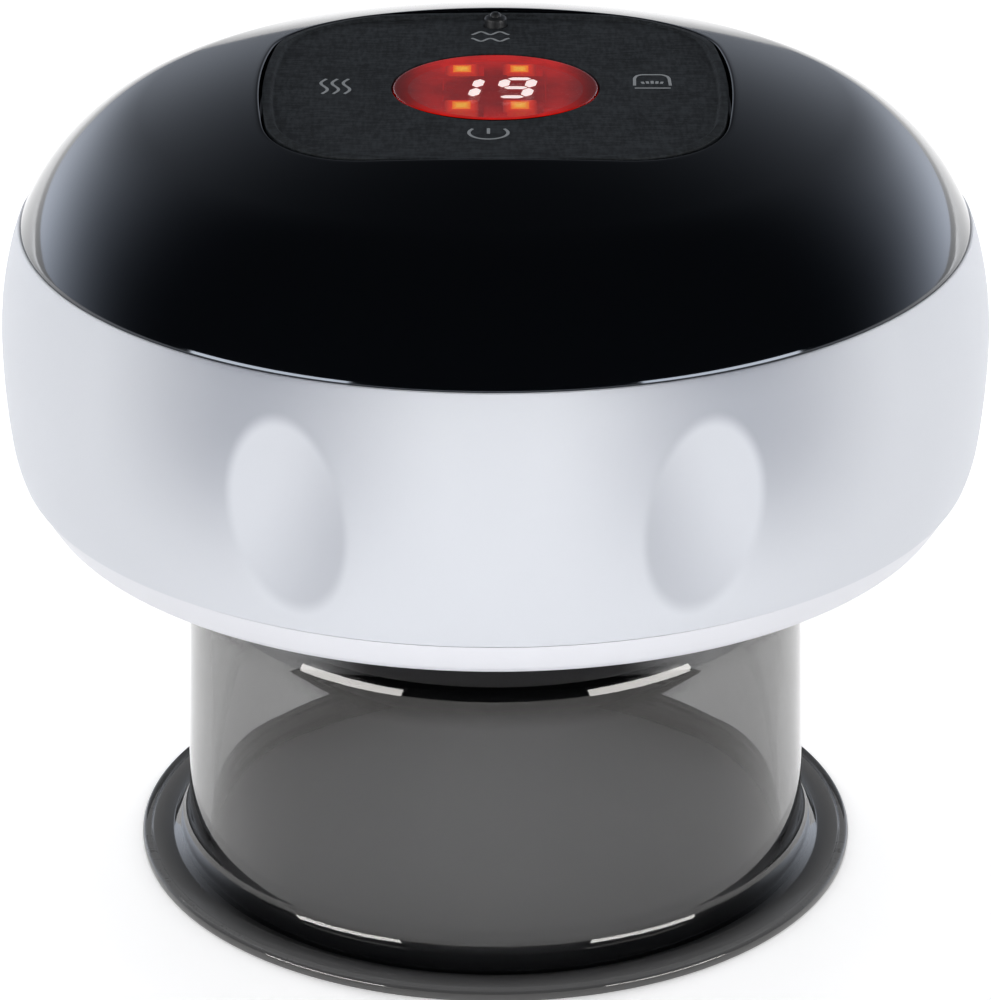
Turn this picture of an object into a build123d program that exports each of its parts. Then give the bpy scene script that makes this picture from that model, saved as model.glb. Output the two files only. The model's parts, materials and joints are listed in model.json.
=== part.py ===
from build123d import *
import os
from math import cos, radians, sin, tan

# Electric cupping massager, in millimetres. Origin: centre of the cup's rim, on the surface it stands on.
# +Z is up, -Y is the front, and the USB socket is at the back.

# Small working allowances shared by the whole part
overrun = 1.0               # how far a cutter runs past what it cuts
seat_gap = 0.3              # between neighbours that only face each other
fit_gap = 0.1               # round a piece that is pushed into its seat
bearing_gap = 0.05          # between the motor's shaft and its bearings

# Suction cup
rim_radius = 35.9
rim_lip_height = 1.25
rim_lip_width = 0.95
rim_lip_round = 0.45
flange_height = 1.0
flange_inner_radius = 32.7
flare_radius = 2.2          # hollow fillet from the wall to the flange
flare_sweep = 55.0
flare_z = 3.95
wall_foot_radius = 31.05
cup_draft = 1.5             # degrees that the wall leans in
cup_wall = 2.3
mouth_round = 2.2           # rounding that rests on the skin
shoulder_z = 27.8
cup_shoulder_radius = 5.2
neck_radius = 24.0
neck_wall = 2.2
neck_rise = 10.7            # neck above the shoulder's top
neck_chamfer = 0.6
neck_fillet = 0.8

# Head: one outline of tangent arcs, each with the slope in degrees where it ends, from the underside up
head_gap = 4.96             # between the cup's shoulder and the head's underside
head_flat_radius = 42.17
foot_round = 3.0
foot_slope = 55.0
tuck_radius = 14.1
tuck_slope = 83.0
lower_side_radius = 78.0
widest_slope = 90.0
upper_side_radius = 34.5
upper_side_slope = 105.0
shoulder_radius = 19.5
shoulder_slope = 146.0
brow_radius = 15.2
brow_slope = 164.0
step_slope = 68.7           # where the shell ends over the base ring
seam_slope = 112.6          # where the dome meets the shell

# Shells of the head
shell_wall = 2.4
dome_wall = 2.0
dome_inset = 0.15
base_inset = 0.3
base_wall = 1.8
lip_wall = 1.4              # rings that reach inside the shell at its two ends
lip_reach = 3.0
lip_gap = 0.3
dent_radius = 20.7          # finger dents: upright hollows
dent_depth = 0.95
dent_angle = 26.0           # from the front, each side, and the same at the back
dent_lean = 5.0
dent_reach = 20.0
catch_width = 6.0
catch_depth = 1.5
catch_height = 1.6
toe_share = 0.7             # of the catch's depth that the dome's toes reach over
snap_angles = [45.0, 135.0, 225.0, 315.0]

# Base cover: socket for the cup's neck and the boss inside it
socket_gap = 0.35
socket_wall = 1.65
stop_gap = 0.3
boss_gap = 1.3              # between the boss and the neck's bore, filled by the seal
boss_wall = 1.6
boss_drop = 1.4
boss_lip = 1.9
boss_lip_height = 1.2
seal_height = 3.2
seal_groove_depth = 0.6
seal_bead = 0.55            # half round ribs on the seal

# Lights, heater and air way in the boss
lens_disc_height = 1.2
heater_setback = 8.0        # of the heater's rim, from the boss's bore
heater_flange_width = 1.6
heater_flange_height = 1.0
heater_foot_rise = 0.35
light_count = 10
light_setback = 4.1         # of the ring through the lights, from the boss's bore
light_width = 2.8
light_length = 3.5
light_height = 1.9
light_board_height = 1.0
light_board_gap = 0.6
reflector_wall = 1.1
bell_radius = 4.25
bell_wall = 0.75
bell_flange_radius = 5.6
bell_flange_height = 1.0
cap_height = 0.7
cap_slot_width = 0.7
cap_slot_count = 3
filter_height = 1.8
nozzle_radius = 2.3
nozzle_bore = 1.1
barb_radius = 1.45
barb_length = 5.0
sensor_size = 2.2

# Chassis
chassis_thickness = 1.4
chassis_radius = 37.0
chassis_screw_radius = 34.0
chassis_screw_angles = [25.0, 155.0, 205.0, 335.0]
chassis_boss_radius = 2.6
board_post_ring = 30.4
board_post_angles = [0.0, 160.0, 248.0, 292.0]
board_post_radius = 2.5
saddle_width = 3.0
saddle_angle = 60.0         # half of the hug round what lies in it
motor_saddle_share = 0.7    # of the motor's length
bracket_saddle_share = 0.45
clamp_inset = 1.0           # of the ring that holds the light board down, from the board's edge
shell_boss_ring = 38.6
shell_boss_radius = 2.8
shell_boss_height = 10.0
shell_boss_angles = [45.0, 135.0, 225.0, 315.0]
rib_width = 1.6

# Screws
screw_radius = 0.8
screw_head_radius = 1.6
screw_head_height = 1.0
screw_length = 6.0
pilot_gap = 0.05
cross_width = 0.45
cross_depth = 0.5
counterbore_radius = 2.0
counterbore_depth = 1.2

# Battery
cell_radius = 9.0
cell_length = 50.0
cell_x = 2.0
cell_y = -16.0
cell_rise = 0.7
cell_cap_radius = 3.2
cell_cap_height = 1.2
cell_lap = 1.0              # of the cap over the cell's end
cell_rest_share = 0.3       # of the length: saddles and foam pads, each side of the middle

# Pump and its motor, on one axis along X
pump_headroom = 0.66        # under the board
pump_rise = 0.4
pump_y = 18.5
motor_face_x = 1.0
motor_inset = 0.5           # of the motor's can, from the pump's outside
motor_length = 20.0
motor_wall = 0.8
motor_cap_length = 3.0
motor_nose_radius = 3.0
motor_nose_length = 1.6
bearing_radius = 2.3
bearing_length = 2.0
shaft_radius = 1.0
magnet_wall = 1.4
magnet_length = 13.0
magnet_sweep = 120.0
air_gap = 0.45
core_length = 10.0
core_slot_width = 2.0
core_hub_radius = 3.4
tooth_width = 2.6
winding_overhang = 1.4
winding_share = 0.8         # of the room between hub and shoe
winding_thickness = 1.1
core_setback = 4.3          # from the motor's face
shoe_thickness = 1.6
core_tooth_angles = [0.0, 120.0, 240.0]
core_slot_angles = [60.0, 180.0, 300.0]
end_cap_spigot = 1.0
commutator_radius = 2.3
commutator_length = 3.2
terminal_width = 2.0
terminal_thickness = 0.4
terminal_length = 3.2
terminal_spread = 4.2
terminal_seat = 2.0         # depth in the end cap
bracket_length = 12.0
pump_wall = 2.2
eccentric_radius = 5.2
eccentric_length = 3.4
eccentric_gap = 1.4         # from the motor's nose
crank_offset = 1.7
crank_seat = 1.4            # pin's depth in the wheel, past the shaft's end
crank_radius = 0.7
crank_pivot = 12.6          # from the motor's face to where the pin's line meets the axis
crank_reach = 10.2
wobble_hub_radius = 3.4
wobble_bore = 2.0
wobble_thickness = 2.0
wobble_face = 8.5           # from the motor's face
wobble_arm_width = 3.0
wobble_seat_ring = 5.9
wobble_seat_radius = 2.4
diaphragm_thickness = 1.0
chamber_height = 0.9
chamber_radius = 2.9
chamber_count = 3
diaphragm_wall = 0.8
valve_plate_thickness = 2.4
valve_hole_radius = 0.7
flap_radius = 2.6
flap_thickness = 0.5
cover_length = 6.0
cover_roof = 1.4
inlet_angle = 15.0          # how far off the cover's crown the inlet leaves
outlet_drop = 5.0
outlet_length = 3.0
pump_screw_inset = 1.15
pump_screw_radius = 0.55
pump_screw_head = 1.0
pump_screw_angles = [45.0, 135.0, 225.0, 315.0]

# Hoses and tee
hose_radius = 2.4
hose_wall = 0.9
hose_bend = 6.0
air_line_rise = 12.7        # the tee's axis above the chassis floor
tee_radius = 2.0
tee_reach = 5.0
tee_body_share = 0.56       # of the reach, before the barb begins
hose_overlap = 2.6          # hose pushed over a barb

# Release valve, its axis along X behind the tee
valve_length = 12.0
valve_width = 13.0
valve_height = 13.0
valve_gap = 3.6             # from the tee's hose to the valve's frame
valve_plate = 1.0
coil_bore = 2.6
coil_share = 0.68           # of the frame's inside length
plunger_radius = 2.4
plunger_travel = 0.5
plunger_bore = 1.7
stop_depth = 1.3            # hollow of the cap behind the frame
spring_wire = 0.35
spring_turns = 4
spring_coil_radius = 1.2
valve_nose_radius = 3.6
pedestal_wall = 1.6

# Main board, its switches and the display
board_thickness = 1.2
board_radius = 33.0
board_drop = 6.95           # from the board's top to the pad's raised edge
switch_ring = 15.0
switch_size = 6.0
switch_height = 3.1
plunger_cap_radius = 1.7
plunger_cap_rise = 0.6
switch_travel = 0.25
chip_height = 1.0
# Each chip's place and footprint, as shares of the board's radius: x, y, width, depth
chip_shares = [(0.0, 0.0, 0.2, 0.2), (0.5, -0.1, 0.12, 0.16), (-0.25, -0.05, 0.14, 0.1),
               (0.3, 0.02, 0.08, 0.08)]
digit_block_width = 9.6
digit_block_depth = 7.6
digit_height = 6.5
digit_width = 3.0
digit_pitch = 4.9
digit_slant = 8.0
digit_centre_x = -0.1
segment_width = 0.85
segment_gap = 0.12
segment_rise = 0.15
indicator_drop = 0.1        # below the digits' face
indicator_x = 2.8
indicator_y = 5.8
indicator_width = 3.2
indicator_depth = 3.2
indicator_height = 1.8
indicator_window_width = 3.4
indicator_window_depth = 3.4
shroud_radius = 9.1
display_gap = 0.15          # from the display's face up to the lens

# Control pad in the dome's tray
pad_side = 44.2
pad_side_radius = 88.0      # bow of the pad's four sides
pad_corner = 11.3
pad_gap = 0.25
pad_edge_z_share = 0.9698   # height of the pad's raised edge, of the head's top point
pad_edge_width = 1.1
pad_edge_step = 0.4
pad_thickness = 1.5
pad_lift = 0.1
tray_wall = 1.6
tray_floor = 1.4
pip_radius = 2.2
pip_hole_gap = 0.6
lens_radius = 9.75
lens_gap = 0.1
lens_ledge = 0.35
lens_crown = 0.12
lens_plate = 0.9            # over the display, within a skirt that stands on the tray
lens_skirt = 0.4
status_y = 19.0
status_radius = 1.1
status_rise = 1.1

# USB socket on its own small board at the back
usb_width = 8.94
usb_height = 3.2
usb_length = 7.35
usb_wall = 0.35
usb_tongue_width = 6.7
usb_tongue_height = 0.7
usb_slot_gap = 0.35
usb_back_wall = 1.0
usb_tongue_setback = 1.0
usb_past_wall = 0.5         # socket's mouth past the shell's inner face
charge_board_margin = 1.0   # past the shell's bosses
charge_board_width = 16.0
charge_board_length = 11.0
charge_board_thickness = 1.0
charge_board_rise = 0.5
charge_tab_width = 18.0

# Wires
wire_radius = 0.55
wire_bend = 2.5
wire_foot_share = 0.3       # of the terminal's length that the wire lies on
wire_lead = 1.9
wire_rise_share = 0.6       # of the cell's radius
wire_side_share = 0.33


# Plane geometry

def arc_points(start, slope_0, slope_1, radius):
    # Middle and end of an arc that turns from one slope to another, anticlockwise
    points = []
    for slope in [(slope_0 + slope_1) / 2, slope_1]:
        x = start[0] + radius * (sin(radians(slope)) - sin(radians(slope_0)))
        z = start[1] + radius * (cos(radians(slope_0)) - cos(radians(slope)))
        points.append((x, z))
    return points


def upright(point):
    return (point[0], 0, point[1])


def turned(edges):
    # Solid of revolution about Z from a closed loop of edges in the XZ plane
    return revolve(make_face(edges), axis=Axis.Z)


def rod(radius, z0, z1, x=0, y=0):
    return Pos(x, y, (z0 + z1) / 2) * Cylinder(radius, z1 - z0)


def ring(inner, outer, z0, z1, x=0, y=0):
    return rod(outer, z0, z1, x, y) - rod(inner, z0 - overrun, z1 + overrun, x, y)


def rod_x(radius, x0, x1, y, z):
    return Pos((x0 + x1) / 2, y, z) * Rot(0, 90, 0) * Cylinder(radius, x1 - x0)


def ring_x(inner, outer, x0, x1, y, z):
    return rod_x(outer, x0, x1, y, z) - rod_x(inner, x0 - overrun, x1 + overrun, y, z)


def rod_y(radius, y0, y1, x, z):
    return Pos(x, (y0 + y1) / 2, z) * Rot(90, 0, 0) * Cylinder(radius, y1 - y0)


def block(x0, x1, y0, y1, z0, z1):
    return Pos((x0 + x1) / 2, (y0 + y1) / 2, (z0 + z1) / 2) * Box(x1 - x0, y1 - y0, z1 - z0)


def polar(radius, angle):
    return radius * cos(radians(angle)), radius * sin(radians(angle))


def pad_form(outset, z0, z1):
    # Square with bowed sides and round corners, at a distance outside the pad's own outline
    bow = pad_side_radius + outset
    shift = pad_side_radius - pad_side / 2
    outline = Pos(shift, 0) * Circle(bow)
    for x, y in [(-shift, 0), (0, shift), (0, -shift)]:
        outline = outline & (Pos(x, y) * Circle(bow))
    outline = fillet(outline.vertices(), pad_corner + outset)
    return Pos(0, 0, z0) * extrude(outline, z1 - z0)


# The head's outline and the heights that follow from it

cup_top_z = shoulder_z + cup_shoulder_radius
neck_top_z = cup_top_z + neck_rise
neck_bore = neck_radius - neck_wall
head_foot_z = cup_top_z + head_gap
head_arcs = [(foot_round, foot_slope), (tuck_radius, tuck_slope), (lower_side_radius, widest_slope),
             (upper_side_radius, upper_side_slope), (shoulder_radius, shoulder_slope),
             (brow_radius, brow_slope)]


def outline_point(slope):
    # Point of the head's outline where it has this slope
    point = (head_flat_radius, head_foot_z)
    slope_0 = 0.0
    for radius, slope_1 in head_arcs:
        end = min(slope, slope_1)
        point = arc_points(point, slope_0, end, radius)[1]
        slope_0 = slope_1
        if slope <= slope_1:
            return point
    return point


brow_point = outline_point(brow_slope)
crown_radius = brow_point[0] / sin(radians(180 - brow_slope))
crown_z = brow_point[1] + crown_radius * (1 - cos(radians(180 - brow_slope)))
step_point = outline_point(step_slope)
seam_point = outline_point(seam_slope)
widest_point = outline_point(widest_slope)
step_z = step_point[1]
seam_z = seam_point[1]


def head_form(inset):
    # Solid inside the head's outline, moved in by the same amount all round
    start = (head_flat_radius, head_foot_z + inset)
    edges = [Line((0, 0, start[1]), upright(start))]
    slope_0 = 0.0
    for radius, slope_1 in head_arcs + [(crown_radius, 180.0)]:
        mid, end = arc_points(start, slope_0, slope_1, radius - inset)
        if slope_1 == 180.0:
            end = (0, end[1])
        edges.append(ThreePointArc(upright(start), upright(mid), upright(end)))
        start, slope_0 = end, slope_1
    edges.append(Line(upright(start), (0, 0, head_foot_z + inset)))
    return turned(edges)


def slab(z0, z1):
    return rod(widest_point[0] + overrun, z0, z1)


boss_radius = neck_bore - boss_gap
boss_bore = boss_radius - boss_wall
boss_foot_z = head_foot_z - boss_drop
socket_radius = neck_radius + socket_gap
socket_roof_z = neck_top_z + stop_gap
roof_top_z = socket_roof_z + base_wall
chassis_z = roof_top_z + seat_gap
floor_z = chassis_z + chassis_thickness
pad_edge_z = crown_z * pad_edge_z_share
board_top_z = pad_edge_z - board_drop
board_z = board_top_z - board_thickness
pad_top_z = pad_edge_z - pad_edge_step
tray_top_z = pad_top_z - pad_thickness - pad_lift
tray_foot_z = tray_top_z - tray_floor
shell_bore = step_point[0] - shell_wall / sin(radians(step_slope))
seam_bore = seam_point[0] - shell_wall / sin(radians(180 - seam_slope))
catch_z = seam_z - lip_reach - catch_height - fit_gap


# Suction cup

def cup():
    lean = tan(radians(cup_draft))
    wall_top_radius = wall_foot_radius - (shoulder_z - flare_z) * lean
    flare_centre = (wall_foot_radius + flare_radius, flare_z)

    def flare_at(angle):
        return (flare_centre[0] - flare_radius * cos(radians(angle)),
                flare_centre[1] - flare_radius * sin(radians(angle)))

    def rounded(centre, radius, angle):
        return (centre[0] + radius * cos(radians(angle)), centre[1] + radius * sin(radians(angle)))

    lip_low = (rim_radius - rim_lip_round, rim_lip_round)
    lip_high = (rim_radius - rim_lip_round, rim_lip_height - rim_lip_round)
    inner_foot = wall_foot_radius - cup_wall
    mouth_centre = (inner_foot + mouth_round, mouth_round)
    inner_top = wall_top_radius - cup_wall
    bend = cup_shoulder_radius - cup_wall
    bend_centre = (wall_top_radius - cup_shoulder_radius, shoulder_z)
    flare_end = flare_at(flare_sweep)
    fillet_centre = (neck_radius + neck_fillet, cup_top_z + neck_fillet)
    points = [
        ("line", (mouth_centre[0], 0)),
        ("line", (lip_low[0], 0)),
        ("arc", rounded(lip_low, rim_lip_round, -45), rounded(lip_low, rim_lip_round, 0)),
        ("line", rounded(lip_high, rim_lip_round, 0)),
        ("arc", rounded(lip_high, rim_lip_round, 45), rounded(lip_high, rim_lip_round, 90)),
        ("line", (rim_radius - rim_lip_width, rim_lip_height)),
        ("line", (rim_radius - rim_lip_width - (rim_lip_height - flange_height) / 2, flange_height)),
        ("line", (flange_inner_radius, flange_height)),
        ("line", flare_end),
        ("arc", flare_at(flare_sweep / 2), flare_at(0)),
        ("line", (wall_top_radius, shoulder_z)),
        ("arc", rounded(bend_centre, cup_shoulder_radius, 45),
         rounded(bend_centre, cup_shoulder_radius, 90)),
        ("line", (fillet_centre[0], cup_top_z)),
        ("arc", rounded(fillet_centre, neck_fillet, 225), (neck_radius, fillet_centre[1])),
        ("line", (neck_radius, neck_top_z - neck_chamfer)),
        ("line", (neck_radius - neck_chamfer, neck_top_z)),
        ("line", (neck_bore + neck_chamfer, neck_top_z)),
        ("line", (neck_bore, neck_top_z - neck_chamfer)),
        ("line", (neck_bore, cup_top_z - cup_wall)),
        ("line", (bend_centre[0], cup_top_z - cup_wall)),
        ("arc", rounded(bend_centre, bend, 45), (inner_top, shoulder_z)),
        ("line", (inner_foot, mouth_round)),
        ("arc", rounded(mouth_centre, mouth_round, 225), (mouth_centre[0], 0)),
    ]
    edges = []
    here = points[0][1]
    for step in points[1:]:
        if step[0] == "line":
            edges.append(Line(upright(here), upright(step[1])))
        else:
            edges.append(ThreePointArc(upright(here), upright(step[1]), upright(step[2])))
        here = step[-1]
    return turned(edges)


def seal_span():
    # Lowest and highest point of the neck seal
    middle = (boss_foot_z + boss_lip_height + neck_top_z) / 2
    return middle - seal_height / 2, middle + seal_height / 2


def cup_seal_ring():
    z0, z1 = seal_span()
    inner = boss_radius - seal_groove_depth
    outer = neck_bore - fit_gap
    body = ring(inner, outer - seal_bead, z0, z1)
    for z in [z0 + seal_bead, z1 - seal_bead]:
        body += Pos(0, 0, z) * Torus(outer - seal_bead, seal_bead)
    return body


# Base cover and its screws

def base_cover():
    body = head_form(base_inset) - head_form(base_inset + base_wall)
    body &= slab(0, step_z - fit_gap)
    body += rod(socket_radius + socket_wall, head_foot_z + base_inset, roof_top_z)
    lip_outer = shell_bore - lip_gap
    lip_foot_z = head_foot_z + base_inset + base_wall / 2
    body += ring(lip_outer - lip_wall, lip_outer, lip_foot_z, step_z + lip_reach)
    for angle in chassis_screw_angles:
        x, y = polar(chassis_screw_radius, angle)
        body += rod(chassis_boss_radius, lip_foot_z, chassis_z, x, y)
    body -= rod(socket_radius, 0, socket_roof_z)
    body += rod(boss_radius, boss_foot_z, roof_top_z)
    body -= rod(boss_bore, boss_foot_z + boss_lip_height, roof_top_z + overrun)
    body -= rod(boss_bore - boss_lip, 0, roof_top_z)
    z0, z1 = seal_span()
    body -= ring(boss_radius - seal_groove_depth, boss_radius + overrun, z0 - fit_gap, z1 + fit_gap)
    for angle in chassis_screw_angles:
        x, y = polar(chassis_screw_radius, angle)
        body -= rod(screw_radius + pilot_gap, chassis_z - screw_length, chassis_z + overrun, x, y)
    for angle in shell_boss_angles:
        x, y = polar(shell_boss_ring, angle)
        body -= rod(screw_radius + fit_gap, 0, step_z, x, y)
        body -= rod(counterbore_radius, 0, head_foot_z + base_inset + counterbore_depth, x, y)
    return body


def screw(x, y, z, length, down=True):
    # Cross-headed screw with the underside of its head at z, pointing down or up
    head = rod(screw_head_radius, 0, screw_head_height)
    for turn in [0, 90]:
        slot = Box(screw_head_radius, cross_width, cross_depth)
        head -= Pos(0, 0, screw_head_height - cross_depth / 2) * Rot(0, 0, turn) * slot
    head += rod(screw_radius, -length, 0)
    if not down:
        head = Rot(180, 0, 0) * head
    return Pos(x, y, z) * head


def base_screws():
    z = head_foot_z + base_inset + counterbore_depth
    return [screw(*polar(shell_boss_ring, angle), z, screw_length, False) for angle in shell_boss_angles]


def inner_screws():
    # The chassis's and the board's screws are alike
    low = [screw(*polar(chassis_screw_radius, angle), floor_z, screw_length - chassis_thickness - seat_gap)
           for angle in chassis_screw_angles]
    return low + [screw(*polar(board_post_ring, angle), board_top_z, screw_length)
                  for angle in board_post_angles]


# Lights, heater and air way, stacked in the boss

lens_z = boss_foot_z + boss_lip_height + fit_gap / 2
lens_top_z = lens_z + lens_disc_height
heater_top_z = lens_top_z + fit_gap + heater_flange_height
light_board_z = heater_top_z + light_height + light_board_gap
light_board_top_z = light_board_z + light_board_height
bell_hole = bell_radius + fit_gap + fit_gap / 2
light_board_radius = boss_bore - 2 * lip_gap
light_ring_radius = boss_bore - light_setback
heater_radius = boss_bore - heater_setback
heater_flange_radius = heater_radius + heater_flange_width


def light_lens():
    bore = heater_radius + lip_gap
    body = ring(bore, boss_bore - fit_gap, lens_z, lens_top_z)
    return body + ring(bore, boss_bore - boss_lip - fit_gap, boss_foot_z + fit_gap, lens_z)


def heater_plate():
    flange = ring(bell_hole, heater_flange_radius, heater_top_z - heater_flange_height, heater_top_z)
    return flange + ring(bell_hole, heater_radius, boss_foot_z + heater_foot_rise, heater_top_z)


def temperature_sensor():
    x = (bell_flange_radius + heater_flange_radius) / 2
    half = sensor_size / 2
    return block(x - half, x + half, -half, half, heater_top_z, heater_top_z + half)


def light_reflector():
    outer = boss_bore - fit_gap
    return ring(outer - reflector_wall, outer, lens_top_z + fit_gap / 2, light_board_z - fit_gap / 2)


def light_board():
    return ring(nozzle_radius + lip_gap, light_board_radius, light_board_z, light_board_top_z)


def treatment_lights():
    lamp = Pos(light_ring_radius, 0, light_board_z - light_height / 2) * Box(light_width, light_length,
                                                                            light_height)
    return [Rot(0, 0, i * 360 / light_count) * lamp for i in range(light_count)]


def suction_nozzle():
    top = heater_top_z + bell_flange_height
    body = rod(bell_radius, boss_foot_z + heater_foot_rise + cap_height, top)
    body += rod(bell_flange_radius, heater_top_z, top)
    body += rod(nozzle_radius, top, chassis_z + seat_gap)
    body += rod(barb_radius, top, floor_z + barb_length)
    body -= rod(bell_radius - bell_wall, 0, heater_top_z)
    return body - rod(nozzle_bore, 0, floor_z + barb_length + overrun)


def filter_span():
    z0 = boss_foot_z + heater_foot_rise + cap_height + fit_gap
    return z0, z0 + filter_height


def air_filter():
    return rod(bell_radius - bell_wall - fit_gap, *filter_span())


def filter_cap():
    z0 = boss_foot_z + heater_foot_rise
    body = rod(bell_radius, z0, z0 + cap_height)
    pitch = 2 * bell_radius / (cap_slot_count + 2)
    for i in range(cap_slot_count):
        y = (i - (cap_slot_count - 1) / 2) * pitch
        half = bell_radius - bell_wall - pitch / 2
        body -= block(-half, half, y - cap_slot_width / 2, y + cap_slot_width / 2, z0 - overrun,
                      z0 + cap_height + overrun)
    return body


# Chassis with its saddles, posts and pedestal

pump_radius = (board_z - floor_z - pump_rise - pump_headroom) / 2
pump_screw_ring = pump_radius - pump_screw_inset
motor_radius = pump_radius - motor_inset
cell_z = floor_z + cell_rise + cell_radius
pump_z = floor_z + pump_rise + pump_radius
air_z = floor_z + air_line_rise
bracket_x = motor_face_x - bracket_length
diaphragm_x = bracket_x - diaphragm_thickness
valve_plate_x = diaphragm_x - valve_plate_thickness
cover_x = valve_plate_x - cover_length
tee_x = (cover_x + valve_plate_x) / 2
tee_end_x = tee_x - tee_reach
valve_x1 = tee_end_x - valve_gap
valve_x0 = valve_x1 - valve_length
valve_z0 = air_z - valve_height / 2
charge_y1 = shell_boss_ring + shell_boss_radius + charge_board_margin
charge_y0 = charge_y1 - charge_board_length
charge_board_z = floor_z + charge_board_rise


def saddle(x, y, z, radius):
    # Upright web with a hollow top that carries a cylinder lying along X
    half = radius * sin(radians(saddle_angle))
    web = block(x - saddle_width / 2, x + saddle_width / 2, y - half, y + half, floor_z - overrun / 2,
                z - radius / 2)
    return web - rod_x(radius + seat_gap, x - saddle_width, x + saddle_width, y, z)


def chassis():
    body = rod(chassis_radius, chassis_z, floor_z)
    for angle in shell_boss_angles:
        x, y = polar(shell_boss_ring, angle)
        body -= rod(shell_boss_radius + lip_gap, 0, floor_z + overrun, x, y)
    half_tab = charge_tab_width / 2
    body += block(-half_tab, half_tab, charge_y0, charge_y1, chassis_z, floor_z)
    for x in [-charge_board_width / 2, charge_board_width / 2 - rib_width]:
        body += block(x, x + rib_width, charge_y0, charge_y1, floor_z - overrun / 2, charge_board_z)
    for share in [-cell_rest_share, cell_rest_share]:
        body += saddle(cell_x + share * cell_length, cell_y, cell_z, cell_radius)
    body += saddle(motor_face_x + motor_length * motor_saddle_share, pump_y, pump_z, motor_radius)
    body += saddle(motor_face_x - bracket_length * bracket_saddle_share, pump_y, pump_z, pump_radius)
    for angle in board_post_angles:
        x, y = polar(board_post_ring, angle)
        body += rod(board_post_radius, floor_z - overrun / 2, board_z, x, y)
    half = valve_width / 2 - pedestal_wall / 2
    pedestal = block(valve_x0 + pedestal_wall, valve_x1 - pedestal_wall, -half, half,
                     floor_z - overrun / 2, valve_z0)
    body += pedestal - block(valve_x0 + 2 * pedestal_wall, valve_x1 - 2 * pedestal_wall,
                             -half + pedestal_wall, half - pedestal_wall, floor_z, valve_z0 + overrun)
    clamp_outer = light_board_radius - clamp_inset
    body += ring(clamp_outer - rib_width, clamp_outer, light_board_top_z + fit_gap, chassis_z + overrun / 2)
    body -= rod(nozzle_radius + lip_gap, 0, floor_z + overrun)
    for angle in chassis_screw_angles:
        x, y = polar(chassis_screw_radius, angle)
        body -= rod(screw_radius + fit_gap, 0, floor_z + overrun, x, y)
    for angle in board_post_angles:
        x, y = polar(board_post_ring, angle)
        body -= rod(screw_radius + pilot_gap, board_z - screw_length, board_z + overrun, x, y)
    return body


# Main shell

usb_z = charge_board_z + charge_board_thickness + usb_height / 2
usb_mouth_y = widest_point[0] - shell_wall + usb_past_wall


def finger_dent(angle):
    # Upright round cutter that leans as the dents do, its hollow as deep as the dent at the widest point
    reach = widest_point[0] + dent_radius - dent_depth
    lean = dent_lean if sin(radians(angle)) * cos(radians(angle)) > 0 else -dent_lean
    cutter = Rot(lean, 0, 0) * Cylinder(dent_radius, 2 * dent_reach)
    return Rot(0, 0, angle) * Pos(reach, 0, widest_point[1]) * cutter


def main_shell():
    body = (head_form(0) - head_form(shell_wall)) & slab(step_z, seam_z)
    for side in [-90, 90]:
        for turn in [-dent_angle, dent_angle]:
            body -= finger_dent(side + turn)
    inside = head_form(shell_wall / 2)
    foot = head_foot_z + base_inset + base_wall + fit_gap
    for angle in shell_boss_angles:
        x, y = polar(shell_boss_ring, angle)
        boss = rod(shell_boss_radius, foot, foot + shell_boss_height, x, y)
        rib_z = step_z + lip_reach + lip_gap
        rib = block(shell_boss_ring, widest_point[0], -rib_width / 2, rib_width / 2, rib_z,
                    foot + shell_boss_height)
        body += (boss + Rot(0, 0, angle) * rib) & inside
        body -= rod(screw_radius + pilot_gap, 0, foot + shell_boss_height - rib_width, x, y)
    for turn in snap_angles:
        catch = block(seam_bore - catch_depth, widest_point[0], -catch_width / 2, catch_width / 2,
                      catch_z - catch_height, catch_z)
        body += (Rot(0, 0, turn) * catch) & inside
    slot_half = usb_width / 2 + usb_slot_gap
    slot_high = usb_height / 2 + usb_slot_gap
    slot = Pos(0, widest_point[0], usb_z) * Rot(90, 0, 0) * extrude(
        RectangleRounded(2 * slot_half, 2 * slot_high, slot_high - fit_gap), 2 * shell_wall, both=True)
    return body - slot


# Dome and control pad

def button_places():
    return {"power": (0, -switch_ring), "level": (0, switch_ring), "heat": (-switch_ring, 0),
            "suction": (switch_ring, 0)}


def dome():
    body = (head_form(dome_inset) - head_form(dome_inset + dome_wall)) & slab(seam_z + fit_gap, 2 * crown_z)
    lip_outer = seam_bore - fit_gap
    lip = ring(lip_outer - lip_wall, lip_outer, seam_z - lip_reach, seam_z + lip_reach)
    outer = seam_bore - catch_depth - fit_gap
    toe_top = catch_z - catch_height - fit_gap
    half = catch_width / 3
    for turn in snap_angles:
        toe_foot = toe_top - catch_height
        toe_tip = outer + catch_depth * toe_share
        tongue = block(outer - lip_wall, outer, -half, half, toe_foot, seam_z)
        tongue += block(outer - lip_wall, toe_tip, -half, half, toe_foot, toe_top)
        tongue += block(outer - lip_wall, lip_outer, -half, half, seam_z - lip_reach, seam_z)
        lip += Rot(0, 0, turn) * tongue
    body += lip & head_form(dome_inset + dome_wall / 2)
    tray = pad_form(pad_gap + tray_wall, tray_foot_z, crown_z)
    body += tray & head_form(dome_inset)
    body -= pad_form(pad_gap, tray_top_z, crown_z + overrun)
    body -= rod(lens_radius - lens_ledge, 0, crown_z)
    for x, y in button_places().values():
        body -= rod(pip_radius + pip_hole_gap, 0, crown_z, x, y)
    return body


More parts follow.
